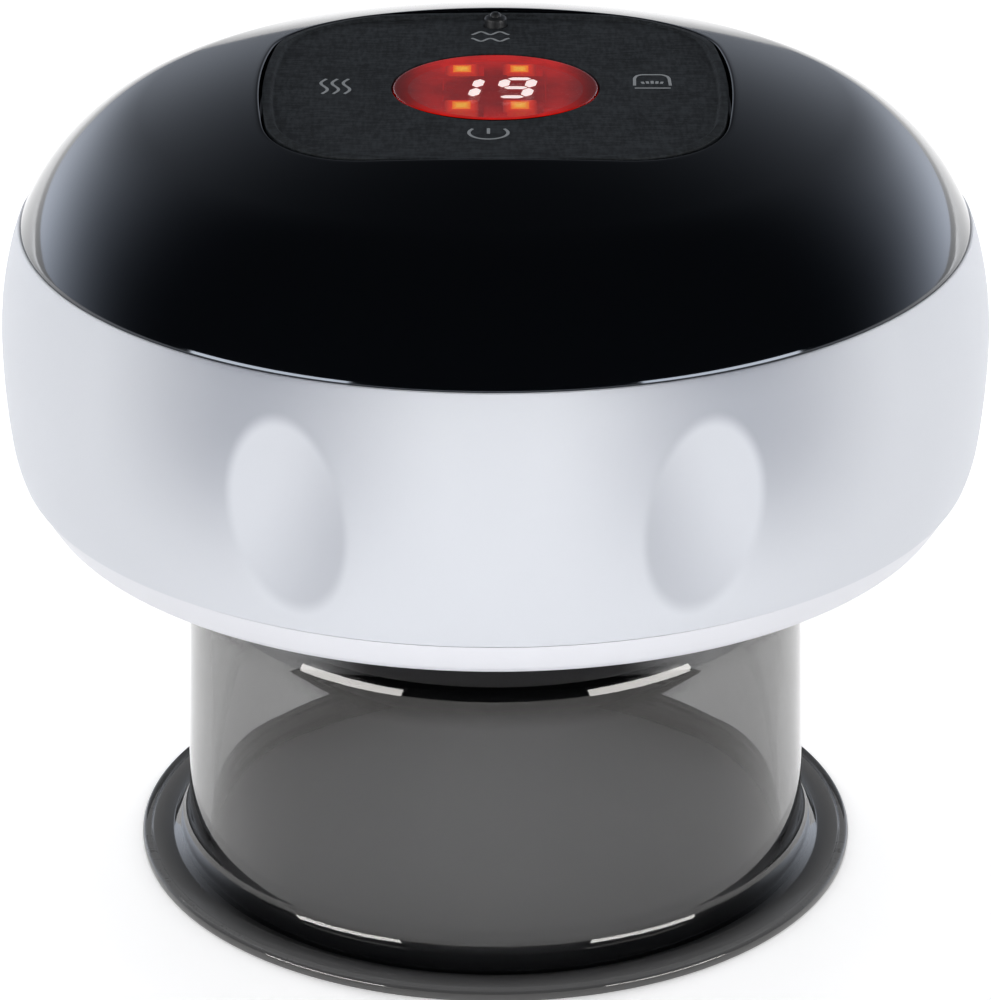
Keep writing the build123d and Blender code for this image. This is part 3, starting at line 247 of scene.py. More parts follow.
def feed(tree, place, value):
    # a socket is linked, a plain value is set
    if isinstance(value, bpy.types.NodeSocket):
        tree.links.new(value, place)
    else:
        place.default_value = value


def calculate(tree, operation, *values):
    node = addNode(tree, "ShaderNodeMath", operation=operation)
    for place, value in zip(node.inputs, values):
        feed(tree, place, value)
    return node.outputs[0]


def product(tree, first, *others):
    for other in others:
        first = calculate(tree, "MULTIPLY", first, other)
    return first


def gap(tree, value, middle):
    # how far a value lies from a middle, either way
    return calculate(tree, "ABSOLUTE", calculate(tree, "SUBTRACT", value, middle))


def distance(tree, x, y):
    return calculate(tree, "SQRT", calculate(tree, "ADD", product(tree, x, x), product(tree, y, y)))


def ramp(tree, value, fromMin, fromMax, toMin=0, toMax=1, kind="SMOOTHSTEP"):
    node = addNode(tree, "ShaderNodeMapRange", interpolation_type=kind)
    for name, number in (("From Min", fromMin), ("From Max", fromMax), ("To Min", toMin), ("To Max", toMax)):
        node.inputs[name].default_value = number
    tree.links.new(value, node.inputs["Value"])
    return node.outputs["Result"]


def coordinates(tree, letters, kind="Object"):
    # of the piece itself, in metres, or a ray's direction in the world's own kind
    place = addNode(tree, "ShaderNodeTexCoord")
    parts = addNode(tree, "ShaderNodeSeparateXYZ")
    tree.links.new(place.outputs[kind], parts.inputs[0])
    return [parts.outputs[letter] for letter in letters]


def blend(tree, factor, first, second):
    # between numbers
    node = addNode(tree, "ShaderNodeMix")
    for name, value in (("Factor", factor), ("A", first), ("B", second)):
        feed(tree, node.inputs[name], value)
    return node.outputs["Result"]


def blendColour(tree, factor, first, second):
    # between colours, which are sockets or 0 to 255 triples
    node = addNode(tree, "ShaderNodeMix", data_type="RGBA")
    tree.links.new(factor, node.inputs["Factor"])
    for name, colour in (("A", first), ("B", second)):
        feed(tree, node.inputs[name], linear(*colour) if isinstance(colour, tuple) else colour)
    return node.outputs["Result"]


def noiseOn(tree, scale, detail, stretch=(1, 1, 1)):
    # noise over the piece itself
    place = addNode(tree, "ShaderNodeTexCoord")
    mapping = addNode(tree, "ShaderNodeMapping", Scale=stretch)
    noise = addNode(tree, "ShaderNodeTexNoise", Scale=scale, Detail=detail)
    tree.links.new(place.outputs["Object"], mapping.inputs["Vector"])
    tree.links.new(mapping.outputs["Vector"], noise.inputs["Vector"])
    return noise.outputs["Fac"]


def varyGloss(tree, shader, value, roughness, spread):
    gloss = ramp(tree, value, 0, 1, roughness * (1 - spread), roughness * (1 + spread), "LINEAR")
    tree.links.new(gloss, shader.inputs["Roughness"])


def addRelief(tree, shader, height, strength, depth):
    bump = addNode(tree, "ShaderNodeBump", Strength=strength, Distance=depth)
    tree.links.new(height, bump.inputs["Height"])
    tree.links.new(bump.outputs["Normal"], shader.inputs["Normal"])


mouldedLook = {"driftScale": 60, "glossSpread": 0.12, "reliefDepth": 0.00005}


def moulded(name, colour, roughness, grain, relief, shift, stretch=(1, 1, 1), **sockets):
    # moulded or metal surface: slight drift of colour, fine grain in its relief and gloss
    material, tree, shader = blank(name, **sockets)
    deeper = tuple(c * (1 - shift) for c in colour)
    drift = noiseOn(tree, mouldedLook["driftScale"], 2)
    tree.links.new(blendColour(tree, drift, colour, deeper), shader.inputs["Base Color"])
    fine = noiseOn(tree, grain, 3, stretch)
    varyGloss(tree, shader, fine, roughness, mouldedLook["glossSpread"])
    addRelief(tree, shader, fine, relief, mouldedLook["reliefDepth"])
    return material


print("helpers ready")


# The head's outline, as tangent arcs: radius, and the slope in degrees where each ends

head = {"flatRadius": 42.17, "foot": 37.96, "stepSlope": 68.7, "seamSlope": 112.6, "crownSlope": 105,
        "browSlope": 164, "arcs": [(3.0, 55), (14.1, 83), (78, 90), (34.5, 105), (19.5, 146), (15.2, 164)]}


def walkArcs(inset):
    # start point, radius, first and last slope of each arc
    x, z, slope = head["flatRadius"], head["foot"] + inset, 0
    for radius, end in head["arcs"] + [(None, 180)]:
        size = x / sin(radians(180 - slope)) if radius is None else radius - inset
        yield x, z, size, slope, end
        x += size * (sin(radians(end)) - sin(radians(slope)))
        z += size * (cos(radians(slope)) - cos(radians(end)))
        slope = end


def headCurve(inset, fromSlope, toSlope, spacing=0.8):
    points = []
    for x, z, size, start, end in walkArcs(inset):
        low, high = max(start, fromSlope), min(end, toSlope)
        if low >= high:
            continue
        count = max(2, ceil(radians(high - low) * size / spacing))
        for i in range(count + 1):
            a = low + (high - low) * i / count
            px = x + size * (sin(radians(a)) - sin(radians(start)))
            pz = z + size * (cos(radians(start)) - cos(radians(a)))
            if not points or hypot(px - points[-1][0], pz - points[-1][1]) > 10 * hair:
                points.append((px, pz))
    return points


def crownHeight(radius, inset):
    # height of the head's crown at a radius from the middle
    for x, z, size, start, end in walkArcs(inset):
        centre = x - size * sin(radians(start))
        inner = centre + size * sin(radians(end))
        if start >= head["crownSlope"] and inner - hair <= radius <= x + hair:
            return z + size * cos(radians(start)) + sqrt(max(0, size * size - (radius - centre) ** 2))


# Main shell with its finger dents and the slot for the charging socket

shell = {"wall": 2.4, "edgeRound": 0.3, "edgeSteps": 3, "steps": 360, "spacing": 0.7, "innerSpacing": 1.5,
         "widest": 47.65, "dentAngle": 23, "dentHalfWidth": 6.0, "dentHalfHeight": 9.4, "dentDepth": 1.25,
         "dentZ": 53.8, "dentLean": 5, "dentReach": 2.2, "slotHalf": 4.82, "slotHigh": 1.95, "slotZ": 50.6,
         "slotRound": 0.95}
# the deep grey and the settings after it paint shade round the finger dents and inside them
shellLook = {"colour": (226, 229, 236), "deep": (160, 164, 175), "tone": 0.95, "shadeAngle": 28,
             "shadeWidth": 24, "heightFade": (0.0435, 0.064), "ovalFade": (0.86, 1.04), "inward": -0.7,
             "dentFade": (-0.5, 0.85, 0.1, 0.5)}


def satinWhiteAndShade():
    # fine grain, and painted shade round the finger dents and inside them
    material = moulded("shellWhite", shellLook["colour"], 0.5, 3000, 0.05, 0.015, Specular_IOR_Level=0.35)
    tree = material.node_tree
    shader = tree.nodes["Principled BSDF"]
    x, y, z = coordinates(tree, "XYZ")
    turn = calculate(tree, "ARCTAN2", calculate(tree, "ABSOLUTE", x), calculate(tree, "ABSOLUTE", y))
    # painted shade in a band at the dents' azimuth, strongest high up and outside the ovals
    near = gap(tree, turn, radians(shellLook["shadeAngle"]))
    shadeBand = ramp(tree, near, radians(shellLook["shadeWidth"]), 0)
    # place in a dent's oval, whose edge is at 1
    rise = calculate(tree, "SUBTRACT", z, shell["dentZ"] * mm)
    along = calculate(tree, "SUBTRACT", turn, radians(shell["dentAngle"]))
    along = calculate(tree, "SUBTRACT", product(tree, along, shell["widest"] * mm),
                      product(tree, rise, tan(radians(shell["dentLean"]))))
    u = calculate(tree, "DIVIDE", along, shell["dentHalfWidth"] * mm)
    v = calculate(tree, "DIVIDE", rise, shell["dentHalfHeight"] * mm)
    outside = ramp(tree, distance(tree, u, v), *shellLook["ovalFade"])
    height = ramp(tree, z, *shellLook["heightFade"])
    depth = product(tree, shadeBand, height, outside, shellLook["tone"])
    # inside it, the painted shade deepens downwards and towards the middle
    inward = product(tree, calculate(tree, "ADD", u, v), shellLook["inward"])
    inside = calculate(tree, "SUBTRACT", 1, outside)
    dentShade = product(tree, ramp(tree, inward, *shellLook["dentFade"]), inside)
    depth = calculate(tree, "ADD", depth, dentShade)
    # the painted shade draws the white towards the deep grey
    plain = shader.inputs["Base Color"].links[0].from_socket
    tree.links.new(blendColour(tree, depth, plain, shellLook["deep"]), shader.inputs["Base Color"])
    return material


def roundEdge(before, corner, after):
    # replaces a corner of a profile by a small rounding
    def towards(a, b):
        share = shell["edgeRound"] / hypot(b[0] - a[0], b[1] - a[1])
        return (a[0] + (b[0] - a[0]) * share, a[1] + (b[1] - a[1]) * share)
    first, last = towards(corner, before), towards(corner, after)
    points = []
    for i in range(shell["edgeSteps"] + 1):
        t = i / shell["edgeSteps"]
        points.append(tuple((1 - t) ** 2 * first[k] + 2 * t * (1 - t) * corner[k] + t * t * last[k]
                            for k in (0, 1)))
    return points


def pressDents(piece):
    # depth as a weight, then pushed in along the surface; on |x| and |y| the four lie in one place
    dents = piece.vertex_groups.new(name="dents")
    turn, lean = radians(shell["dentAngle"]), tan(radians(shell["dentLean"]))
    for vertex in piece.data.vertices:
        x, y, rise = abs(vertex.co.x), abs(vertex.co.y), vertex.co.z - shell["dentZ"]
        # the pair at the back leans the other way
        along = x * cos(turn) - y * sin(turn) - rise * (lean if vertex.co.y < 0 else -lean)
        away = hypot(along / shell["dentHalfWidth"], rise / shell["dentHalfHeight"])
        if away < 1 and hypot(x, y) >= shell["widest"] - shell["dentReach"]:
            dents.add([vertex.index], 1 - away * away, "REPLACE")
    applyModifier(piece, "DISPLACE", strength=-shell["dentDepth"], mid_level=0, vertex_group="dents")


def makeShell():
    outer = headCurve(0, head["stepSlope"], head["seamSlope"], shell["spacing"])
    inner = headCurve(shell["wall"], head["stepSlope"], head["seamSlope"], shell["innerSpacing"])[::-1]
    top = roundEdge(outer[-2], outer[-1], inner[0])
    low = roundEdge(inner[-1], outer[0], outer[1])
    profile = low + outer[2:-1] + top + inner + [low[0]]
    piece = lathe("mainShell", profile, shell["steps"])
    pressDents(piece)
    # slot for the charging socket, at the back
    cutter = addBox((0, shell["widest"], shell["slotZ"]),
                    (2 * shell["slotHalf"], 4 * shell["wall"], 2 * shell["slotHigh"]))
    editAll(cutter)
    selectWhere(cutter, "edges", lambda e: abs(e.verts[0].co.y - e.verts[1].co.y) > 1)
    bpy.ops.mesh.bevel(offset=shell["slotHigh"] * shell["slotRound"], segments=10, profile=0.5)
    leaveEdit()
    cutWith(piece, cutter)
    return finishPiece(piece, shellFinish, "head", ["main_shell"])


shellFinish = satinWhiteAndShade()
makeShell()
print("shell done")


# The pad's outline, a square with bowed sides and round corners, for the dome's tray and the pad

padForm = {"half": 22.1, "bow": 88.0, "corner": 11.3, "sideSteps": 26, "cornerSteps": 14}


def padOutline(outset):
    # corner arcs touch the side arcs from inside
    bow, corner = padForm["bow"] + outset, padForm["corner"] + outset
    shift = padForm["bow"] - padForm["half"]
    place = (sqrt(2 * (bow - corner) ** 2 - shift * shift) - shift) / 2
    end = degrees(atan2(place, place + shift))
    points = []
    for turn in (0, 90, 180, 270):
        side = arcPoints((-shift, 0), bow, -end, end, padForm["sideSteps"])
        side += arcPoints((place, place), corner, end, 90 - end, padForm["cornerSteps"])[1:-1]
        c, n = cos(radians(turn)), sin(radians(turn))
        points += [(x * c - y * n, x * n + y * c) for x, y in side]
    return points


def padLoop(name, outset, height):
    points = padOutline(outset)
    piece = drawChain(name, [(x, y, height) for x, y in points + points[:1]])
    bpy.ops.mesh.select_all(action="SELECT")
    bpy.ops.mesh.remove_doubles(threshold=hair)
    bpy.ops.mesh.select_all(action="SELECT")
    return piece


def meanRadius(piece):
    # of the selected ring, and its height
    mesh = bmesh.from_edit_mesh(piece.data)
    chosen = [v.co for v in mesh.verts if v.select]
    return sum(hypot(co.x, co.y) for co in chosen) / len(chosen), chosen[0].z


def ringTo(piece, radius, height, roundness=1.0):
    # next ring, at a mean radius and a height; roundness draws it towards a circle
    meanR, z = meanRadius(piece)
    extrude(0, 0, height - z)
    bpy.ops.transform.resize(value=(radius / meanR, radius / meanR, 1), center_override=(0, 0, height))
    if roundness:
        bpy.ops.transform.tosphere(value=roundness, center_override=(0, 0, height))


def setHeights(piece, test, heightOf):
    # new height for the vertices for which the test holds
    mesh = bmesh.from_edit_mesh(piece.data)
    for vertex in mesh.verts:
        if test(vertex):
            vertex.co.z = heightOf(vertex.co)
    bmesh.update_edit_mesh(piece.data)


def isOpen(edge, beyond=0):
    # whether it bounds the mesh, farther from the middle than a distance
    return len(edge.link_faces) == 1 and max(hypot(v.co.x, v.co.y) for v in edge.verts) > beyond


def selectCaps(piece):
    # faces with many corners
    selectWhere(piece, "faces", lambda f: len(f.verts) > 8)


# Dome, from the lip of the pad's tray over the crown, down to the seam, and back inside

dome = {"inset": 0.15, "wall": 2.0, "spacing": 0.9, "innerSpacing": 2.0, "innerSlope": 150, "guide": 90.0,
        "crownSteps": 9, "crownGap": 0.6, "browGap": 0.3, "crownEase": 1.5, "trayGap": 0.25, "trayTop": 77.51,
        "trayFoot": 76.11, "lensHole": 9.4, "edge": 0.15, "lipRound": 0.2, "lipOut": (1, 2.5), "lipSink": 0.6,
        "lipWall": 0.3, "seamRings": ((0.12, 0.08), (0.5, 0.12)), "trayRings": ((18, 0.6), (13, 1.0)),
        "underRings": ((30.2, 0.19), (29.2, 0.05), (28.6, 0), (20, 0), (12, 0)),
        "pipHole": 2.8, "pipRing": 15, "pipCut": 6}
domeFinish = moulded("domeBlack", (4, 5, 7), 0.07, 500, 0.02, 0.1, Specular_Tint=(0.78, 0.86, 1, 1))


def crownRings(piece):
    # drawn out to the brow at a guide's height, then settled on the crown
    inset, guide = dome["inset"], dome["guide"]
    base = meanRadius(piece)[0]
    for out in dome["lipOut"]:
        ringTo(piece, base + out * dome["lipRound"], guide, 0)
    start = base + dome["crownGap"]
    end = headCurve(inset, head["browSlope"], 180)[0][0] - dome["browGap"]
    for i in range(1, dome["crownSteps"] + 1):
        t = i / dome["crownSteps"]
        ringTo(piece, start + (end - start) * t, guide, t ** dome["crownEase"])
    setHeights(piece, lambda v: v.co.z > guide - 1, lambda co: crownHeight(hypot(co.x, co.y), inset))


def trayRings(piece):
    # from the first loop, sunk a little for the rounded lip, down the wall and in over the floor
    edge, top, hole = dome["edge"], dome["trayTop"], dome["lensHole"]
    selectWhere(piece, "edges", lambda e: isOpen(e, 2 * hole))
    setHeights(piece, lambda v: v.select, lambda co: co.z - dome["lipSink"] * dome["lipRound"])
    extrude(0, 0, -dome["lipRound"])
    extrude(0, 0, -dome["lipWall"])
    setHeights(piece, lambda v: v.select, lambda co: top + edge)
    extrude(0, 0, -edge)
    ringTo(piece, meanRadius(piece)[0] - edge, top, 0)
    for radius, roundness in dome["trayRings"]:
        ringTo(piece, radius, top, roundness)
    ringTo(piece, hole + edge, top)


def makeDome():
    inset, edge = dome["inset"], dome["edge"]
    hole, foot, top = dome["lensHole"], dome["trayFoot"], dome["trayTop"]
    piece = padLoop("dome", dome["trayGap"], dome["guide"])
    crownRings(piece)
    # down the brow and the shoulder to the seam, then up the inside
    for radius, z in headCurve(inset, head["seamSlope"], head["browSlope"], dome["spacing"])[::-1]:
        ringTo(piece, radius, z)
    seam, seamZ = meanRadius(piece)
    for inwards, down in dome["seamRings"]:
        ringTo(piece, seam - inwards, seamZ - down)
    inner = headCurve(inset + dome["wall"], head["seamSlope"], dome["innerSlope"], dome["innerSpacing"])
    for radius, z in inner:
        ringTo(piece, radius, z)
    # under the tray and up through the lens's hole
    for radius, up in dome["underRings"]:
        ringTo(piece, radius, foot + up)
    for radius, z in ((hole + edge, foot), (hole, foot), (hole, foot + edge),
                      (hole, top - edge), (hole, top), (hole + edge, top)):
        ringTo(piece, radius, z)
    trayRings(piece)
    leaveEdit()
    closeUp(piece)
    applyModifier(piece, "SUBSURF", levels=1, render_levels=1)
    for place in fourPlaces(dome["pipRing"], foot):
        cutWith(piece, addCylinder(dome["pipHole"], dome["pipCut"], place))
    return finishPiece(piece, domeFinish, "head", ["dome"], 30)


makeDome()
print("dome done")


# Control pad, raised along its border, with the hole for the display

pad = {"foot": 77.61, "edgeTop": 79.51, "fieldTop": 79.11, "footEdge": 0.15, "topEdge": 0.2,
       "lensHole": 9.85, "lensEdge": 0.1, "crownInset": 0.15, "crownFrom": 20, "statusY": 19.0,
       "statusHole": 1.2, "statusCut": 8, "pipRadius": 2.2, "pipFoot": 76.56, "pipRing": 15, "pipEdge": 0.2,
       "fieldRings": ((18, 0.4), (14, 0.8), (11, 1)), "underRings": ((23, 0), (18, 0.4), (13, 1)),
       "border": ((0.06, 0.14), (0.14, 0.06), (0.55, 0), (0.1, -0.03), (0.1, -0.17), (0.1, -0.17),
                  (0.1, -0.03), (0.3, 0))}
padLook = {"dark": (25, 28, 31), "light": (44, 48, 52), "threads": 2600, "across": 0.22, "threadShare": 0.4,
           "fleck": 5200, "fleckShare": 0.2, "cloud": 140, "cloudFade": (0.3, 0.7, -0.12, 0.12),
           "fade": (0.38, 0.64), "relief": 0.4, "reliefDepth": 0.00004}


def padRubber():
    # fine fabric-like grain: uneven threads both ways, and fleck
    material, tree, shader = blank("padRubber", Roughness=0.82, Specular_IOR_Level=0.25)
    threads = calculate(tree, "ADD", noiseOn(tree, padLook["threads"], 3, (1, padLook["across"], 1)),
                        noiseOn(tree, padLook["threads"], 3, (padLook["across"], 1, 1)))
    fleck = product(tree, noiseOn(tree, padLook["fleck"], 2), padLook["fleckShare"])
    both = calculate(tree, "ADD", product(tree, threads, padLook["threadShare"]), fleck)
    cloud = ramp(tree, noiseOn(tree, padLook["cloud"], 2), *padLook["cloudFade"])
    level = calculate(tree, "ADD", ramp(tree, both, *padLook["fade"]), cloud)
    tree.links.new(blendColour(tree, level, padLook["dark"], padLook["light"]), shader.inputs["Base Color"])
    addRelief(tree, shader, both, padLook["relief"], padLook["reliefDepth"])
    return material


def makePad():
    hole, edge, foot, field = pad["lensHole"], pad["lensEdge"], pad["foot"], pad["fieldTop"]
    piece = padLoop("controlPad", 0, foot)
    bpy.ops.mesh.edge_face_add()
    extrude(0, 0, pad["footEdge"])
    extrude(0, 0, pad["edgeTop"] - pad["topEdge"] - foot - pad["footEdge"])
    for thickness, depth in pad["border"]:
        bpy.ops.mesh.inset(thickness=thickness, depth=depth)
    bpy.ops.mesh.delete(type="ONLY_FACE")
    # field in to the display's hole, and down through it
    selectWhere(piece, "edges", lambda e: isOpen(e) and e.verts[0].co.z > foot + 1)
    for radius, roundness in pad["fieldRings"]:
        ringTo(piece, radius, field, roundness)
    for radius, z in ((hole + 3 * edge, field), (hole + edge, field), (hole, field - edge),
                      (hole, foot + edge), (hole, foot)):
        ringTo(piece, radius, z)
    # underside
    selectCaps(piece)
    bpy.ops.mesh.delete(type="ONLY_FACE")
    selectWhere(piece, "edges", lambda e: isOpen(e, 2 * hole))
    for radius, roundness in pad["underRings"]:
        ringTo(piece, radius, foot, roundness)
    ringTo(piece, hole, foot)
    # nowhere above the head's crown
    setHeights(piece, lambda v: hypot(v.co.x, v.co.y) > pad["crownFrom"] and v.co.z > foot + 1,
               lambda co: min(co.z, crownHeight(hypot(co.x, co.y), pad["crownInset"])))
    leaveEdit()
    closeUp(piece)
    applyModifier(piece, "SUBSURF", levels=1, render_levels=1)
    cutWith(piece, addCylinder(pad["statusHole"], pad["statusCut"], (0, pad["statusY"], field)))
    return finishPiece(piece, padFinish, "head", ["control_pad"], 30)


def makePips():
    # under the pad, where they press the switches
    height = pad["foot"] - pad["pipFoot"]
    for number, place in enumerate(fourPlaces(pad["pipRing"], (pad["foot"] + pad["pipFoot"]) / 2)):
        piece = addCylinder(pad["pipRadius"], height, place)
        piece.name = "padPip" + str(number + 1)
        editAll(piece)
        selectCaps(piece)
        bpy.ops.mesh.bevel(offset=pad["pipEdge"], segments=3)
        leaveEdit()
        finishPiece(piece, padFinish, "head")


padFinish = padRubber()
makePad()
makePips()
print("pad done")


# Printed symbols on the pad: strokes drawn as chains and given a round, nearly flat line

symbols = {"line": 0.15, "flatness": 0.12, "lift": 0.01, "symbolPower": (-0.65, -13.4),
           "symbolHeat": (-15.2, 0), "symbolWaves": (-0.5, 15.4), "symbolCup": (14.9, 1.7)}
inkGrey = moulded("inkGrey", (142, 146, 150), 0.6, 4000, 0.1, 0.08)


def stroke(points):
    piece = drawChain("stroke", [(x, y, 0) for x, y in points])
    leaveEdit()
    pick(piece)
    bpy.ops.object.convert(target="CURVE")
    piece.data.bevel_depth = symbols["line"]
    piece.data.bevel_resolution = 2
    piece.data.use_fill_caps = True
    bpy.ops.object.convert(target="MESH")
    piece.scale = (1, 1, symbols["flatness"])
    piece.location = (0, 0, pad["fieldTop"] + symbols["lift"])
    applyTransform()
    return piece


def powerLines():
    # open ring with a bar at its top
    radius, barTop, barFoot = 1.8, 1.2, -0.3
    ring = [(radius * sin(radians(a)), radius * cos(radians(a))) for a in range(54, 307, 6)]
    return [ring, [(0, barTop), (0, barFoot)]]


def heatLines():
    # three waves that rise
    spacing, swing, top, height, steps = 1.06, 0.34, 1.95, 3.9, 16
    lines = []
    for i in (-1, 0, 1):
        lines.append([(i * spacing - swing * sin(2 * pi * k / steps), top - height * k / steps)
                      for k in range(-1, steps + 2)])
    return lines


def waveLines():
    # two waves, mirrored
    width, apart, swing, steps = 3.7, 1.05, 0.45, 24
    line = [(width * (t / steps - 0.5), apart - swing * cos(4 * pi * t / steps)) for t in range(steps + 1)]
    return [[(x, -y) for x, y in line], line]


def cupLines():
    # arched cup over a line, with small rays in it
    side = [(0.75 + 0.85 * cos(radians(a)), 0.75 + 1.05 * sin(radians(a))) for a in range(90, 14, -15)]
    side += [(1.65, 0.6), (1.7, -1.45)]
    lines = [[(-x, y) for x, y in side[::-1]] + side, [(-1.7, -2.2), (1.7, -2.2)]]
    for i in (-2, -1, 0, 1, 2):
        lines.append([(0.42 * i, -0.9), (0.48 * i, -0.1 - 0.12 * abs(i))])
    return lines


for symbol, lines in {"symbolPower": powerLines(), "symbolHeat": heatLines(), "symbolWaves": waveLines(),
                      "symbolCup": cupLines()}.items():
    cx, cy = symbols[symbol]
    strokes = [stroke([(cx + x, cy + y) for x, y in line]) for line in lines]
    finishPiece(joinPieces(symbol, strokes), inkGrey, "head")
print("symbols done")


# Display: window over a lit red plate, and two digits of seven bars each

display = {"radius": 9.75, "foot": 77.51, "top": 79.11, "crown": 0.12, "edge": 0.2, "footEdge": 0.05,
           "innerEdge": 0.1, "plate": 0.9, "skirt": 0.4, "clear": 8.3, "clearAhead": -3,
           "outerRings": [0.985, 0.94], "rings": 12, "steps": 160}
digits = {"height": 6.1, "width": 3.7, "pitch": 5.0, "centre": -0.58, "ahead": 0.5, "bar": 0.82,
          "barWide": 1.15, "barRise": 0.03, "barFoot": 78.1, "slant": 8, "gap": 0.2, "point": 0.9,
          "blunt": 0.14, "lit": ("bc", "abcdfg")}
displayLook = {"plateGlow": 1.2, "plate": (60, 8, 8), "middle": (128, 12, 10), "rim": (182, 22, 16),
               "ends": (70, 2, 0), "rimFade": (0.0035, 0.0088), "endFade": (0.0048, 0.0094, 0, 0.95),
               "patches": 700, "patchFade": (0.35, 0.7, 0, 0.25), "bend": 1.42, "glass": (255, 240, 238),
               "lit": (255, 252, 252), "litGlow": 1.3, "litPatches": 900, "litFade": 0.94}


def displayRed():
    # lit red plate, brighter towards its rim and dim at its two ends
    material, tree, shader = blank("displayRed", Roughness=0.6, Emission_Strength=displayLook["plateGlow"],
                                   Specular_IOR_Level=0.0, Base_Color=linear(*displayLook["plate"]))
    x, y = coordinates(tree, "XY")
    rim = ramp(tree, distance(tree, x, y), *displayLook["rimFade"])
    ends = ramp(tree, calculate(tree, "ABSOLUTE", x), *displayLook["endFade"])
    patch = ramp(tree, noiseOn(tree, displayLook["patches"], 2), *displayLook["patchFade"])
    red = blendColour(tree, rim, displayLook["middle"], displayLook["rim"])
    for share in (ends, patch):
        red = blendColour(tree, share, red, displayLook["ends"])
    tree.links.new(red, shader.inputs["Emission Color"])
    return material


def litBars():
    colour = displayLook["lit"]
    material, tree, shader = blank("segmentLit", Roughness=0.4, Emission_Strength=displayLook["litGlow"],
                                   Base_Color=linear(*colour))
    weaker = tuple(c * displayLook["litFade"] for c in colour)
    patch = noiseOn(tree, displayLook["litPatches"], 2)
    tree.links.new(blendColour(tree, patch, colour, weaker), shader.inputs["Emission Color"])
    return material


plateRed = displayRed()
segmentLit = litBars()
lensGlass = blank("displayGlass", Transmission_Weight=1.0, IOR=displayLook["bend"], Roughness=0.02,
                  Base_Color=linear(*displayLook["glass"]))[0]


def makeWindow():
    radius, edge, foot, top = display["radius"], display["edge"], display["foot"], display["top"]
    bore, plate, flat = radius - display["skirt"], top - display["plate"], radius - edge
    inner, outer = display["innerEdge"], display["footEdge"]
    profile = [(0, plate), (display["clear"], plate), (bore - inner, plate), (bore, plate - inner),
               (bore, foot), (radius - outer, foot), (radius, foot + outer), (radius, top - edge)]
    profile += arcPoints((flat, top - edge), edge, 0, 80, 4)[1:]
    # over the crown; the outer rings keep the edge's shading off it
    count = display["rings"]
    for share in display["outerRings"] + [1 - i / count for i in range(1, count + 1)]:
        profile.append((flat * share, top + display["crown"] * (1 - share * share)))
    piece = finishPiece(lathe("displayWindow", profile, display["steps"]), lensGlass, "head",
                        ["display_lens"])
    # painted red glow, the display's light in the glass, all round its underside and skirt; the front of its
    # side stays clear
    piece.data.materials.append(plateRed)
    for face in piece.data.polygons:
        away = hypot(face.center.x, face.center.y)
        under = face.normal.z < -0.5 and away > display["clear"] * mm
        behind = away < (radius - inner) * mm or face.center.y > display["clearAhead"] * mm
        if under or abs(face.normal.z) < 0.5 and behind:
            face.material_index = 1
    return piece


def barAt(letter):
    # place of a bar of the seven, from the digit's middle, and whether it stands
    rise = (digits["height"] - digits["bar"]) / 4
    side = (digits["width"] - digits["barWide"]) / 2
    return {"a": (0, 2 * rise, False), "g": (0, 0, False), "d": (0, -2 * rise, False),
            "f": (-side, rise, True), "b": (side, rise, True), "e": (-side, -rise, True),
            "c": (side, -rise, True)}[letter]


def makeBar(cx, letter):
    x, y, standing = barAt(letter)
    reach = (digits["height"] - digits["bar"]) / 2 if standing else digits["width"] - digits["barWide"]
    length = reach - 2 * digits["gap"]
    point = digits["barWide" if standing else "bar"] / 2 * digits["point"]
    deselectAll()
    bpy.ops.mesh.primitive_plane_add(size=1, location=(0, 0, 0))
    piece = bpy.context.object
    piece.scale = (length - 2 * point, 2 * point, 1)
    applyTransform()
    editAll(piece)
    end = length / 2 - point
    for side in (-1, 1):
        # each end drawn out to a blunt point
        selectWhere(piece, "edges", lambda e: all(abs(v.co.x - side * end) < hair for v in e.verts))
        extrude(side * point, 0, 0)
        bpy.ops.transform.resize(value=(1, digits["blunt"], 1), center_override=(0, 0, 0))
    bpy.ops.mesh.select_all(action="SELECT")
    extrude(0, 0, digits["barRise"])
    # turned upright if it stands, slanted, and put in its place
    mesh = bmesh.from_edit_mesh(piece.data)
    for vertex in mesh.verts:
        px, py = (-vertex.co.y, vertex.co.x) if standing else (vertex.co.x, vertex.co.y)
        py += y
        vertex.co.x = cx + px + x + py * tan(radians(digits["slant"]))
        vertex.co.y = py + digits["ahead"]
        vertex.co.z += digits["barFoot"]
    bmesh.update_edit_mesh(piece.data)
    leaveEdit()
    closeUp(piece)
    return piece


def makeDigits():
    lit, dark = [], []
    for digit, letters in enumerate(digits["lit"]):
        cx = digits["centre"] + (digit - 0.5) * digits["pitch"]
        for letter in "abcdefg":
            (lit if letter in letters else dark).append(makeBar(cx, letter))
    finishPiece(joinPieces("digitsLit", lit), segmentLit, "head", ["digit_segments"])
    finishPiece(joinPieces("digitsDark", dark), plateRed, "head")


makeWindow()
makeDigits()


# Four small lamps in the display, amber in a red glow

lamps = {"x": 2.75, "y": 5.4, "aside": -0.45, "ahead": 0.65, "width": 3.2, "depth": 3.2, "height": 2.18,
         "foot": 76.01, "edge": 0.15, "spotWidth": 1.7, "spotDepth": 2.1}
lampLook = {"glow": 1.1, "base": (60, 10, 6), "spot": (255, 196, 70), "spotEdge": (255, 130, 30),
            "halo": (226, 52, 26), "haloEdge": (168, 30, 22), "spotFade": (0.3, 1.0), "outFade": (0.94, 1.08),
            "haloFade": (1.1, 1.9), "grain": 1500, "grainFade": (0.3, 0.8, 0, 0.15)}


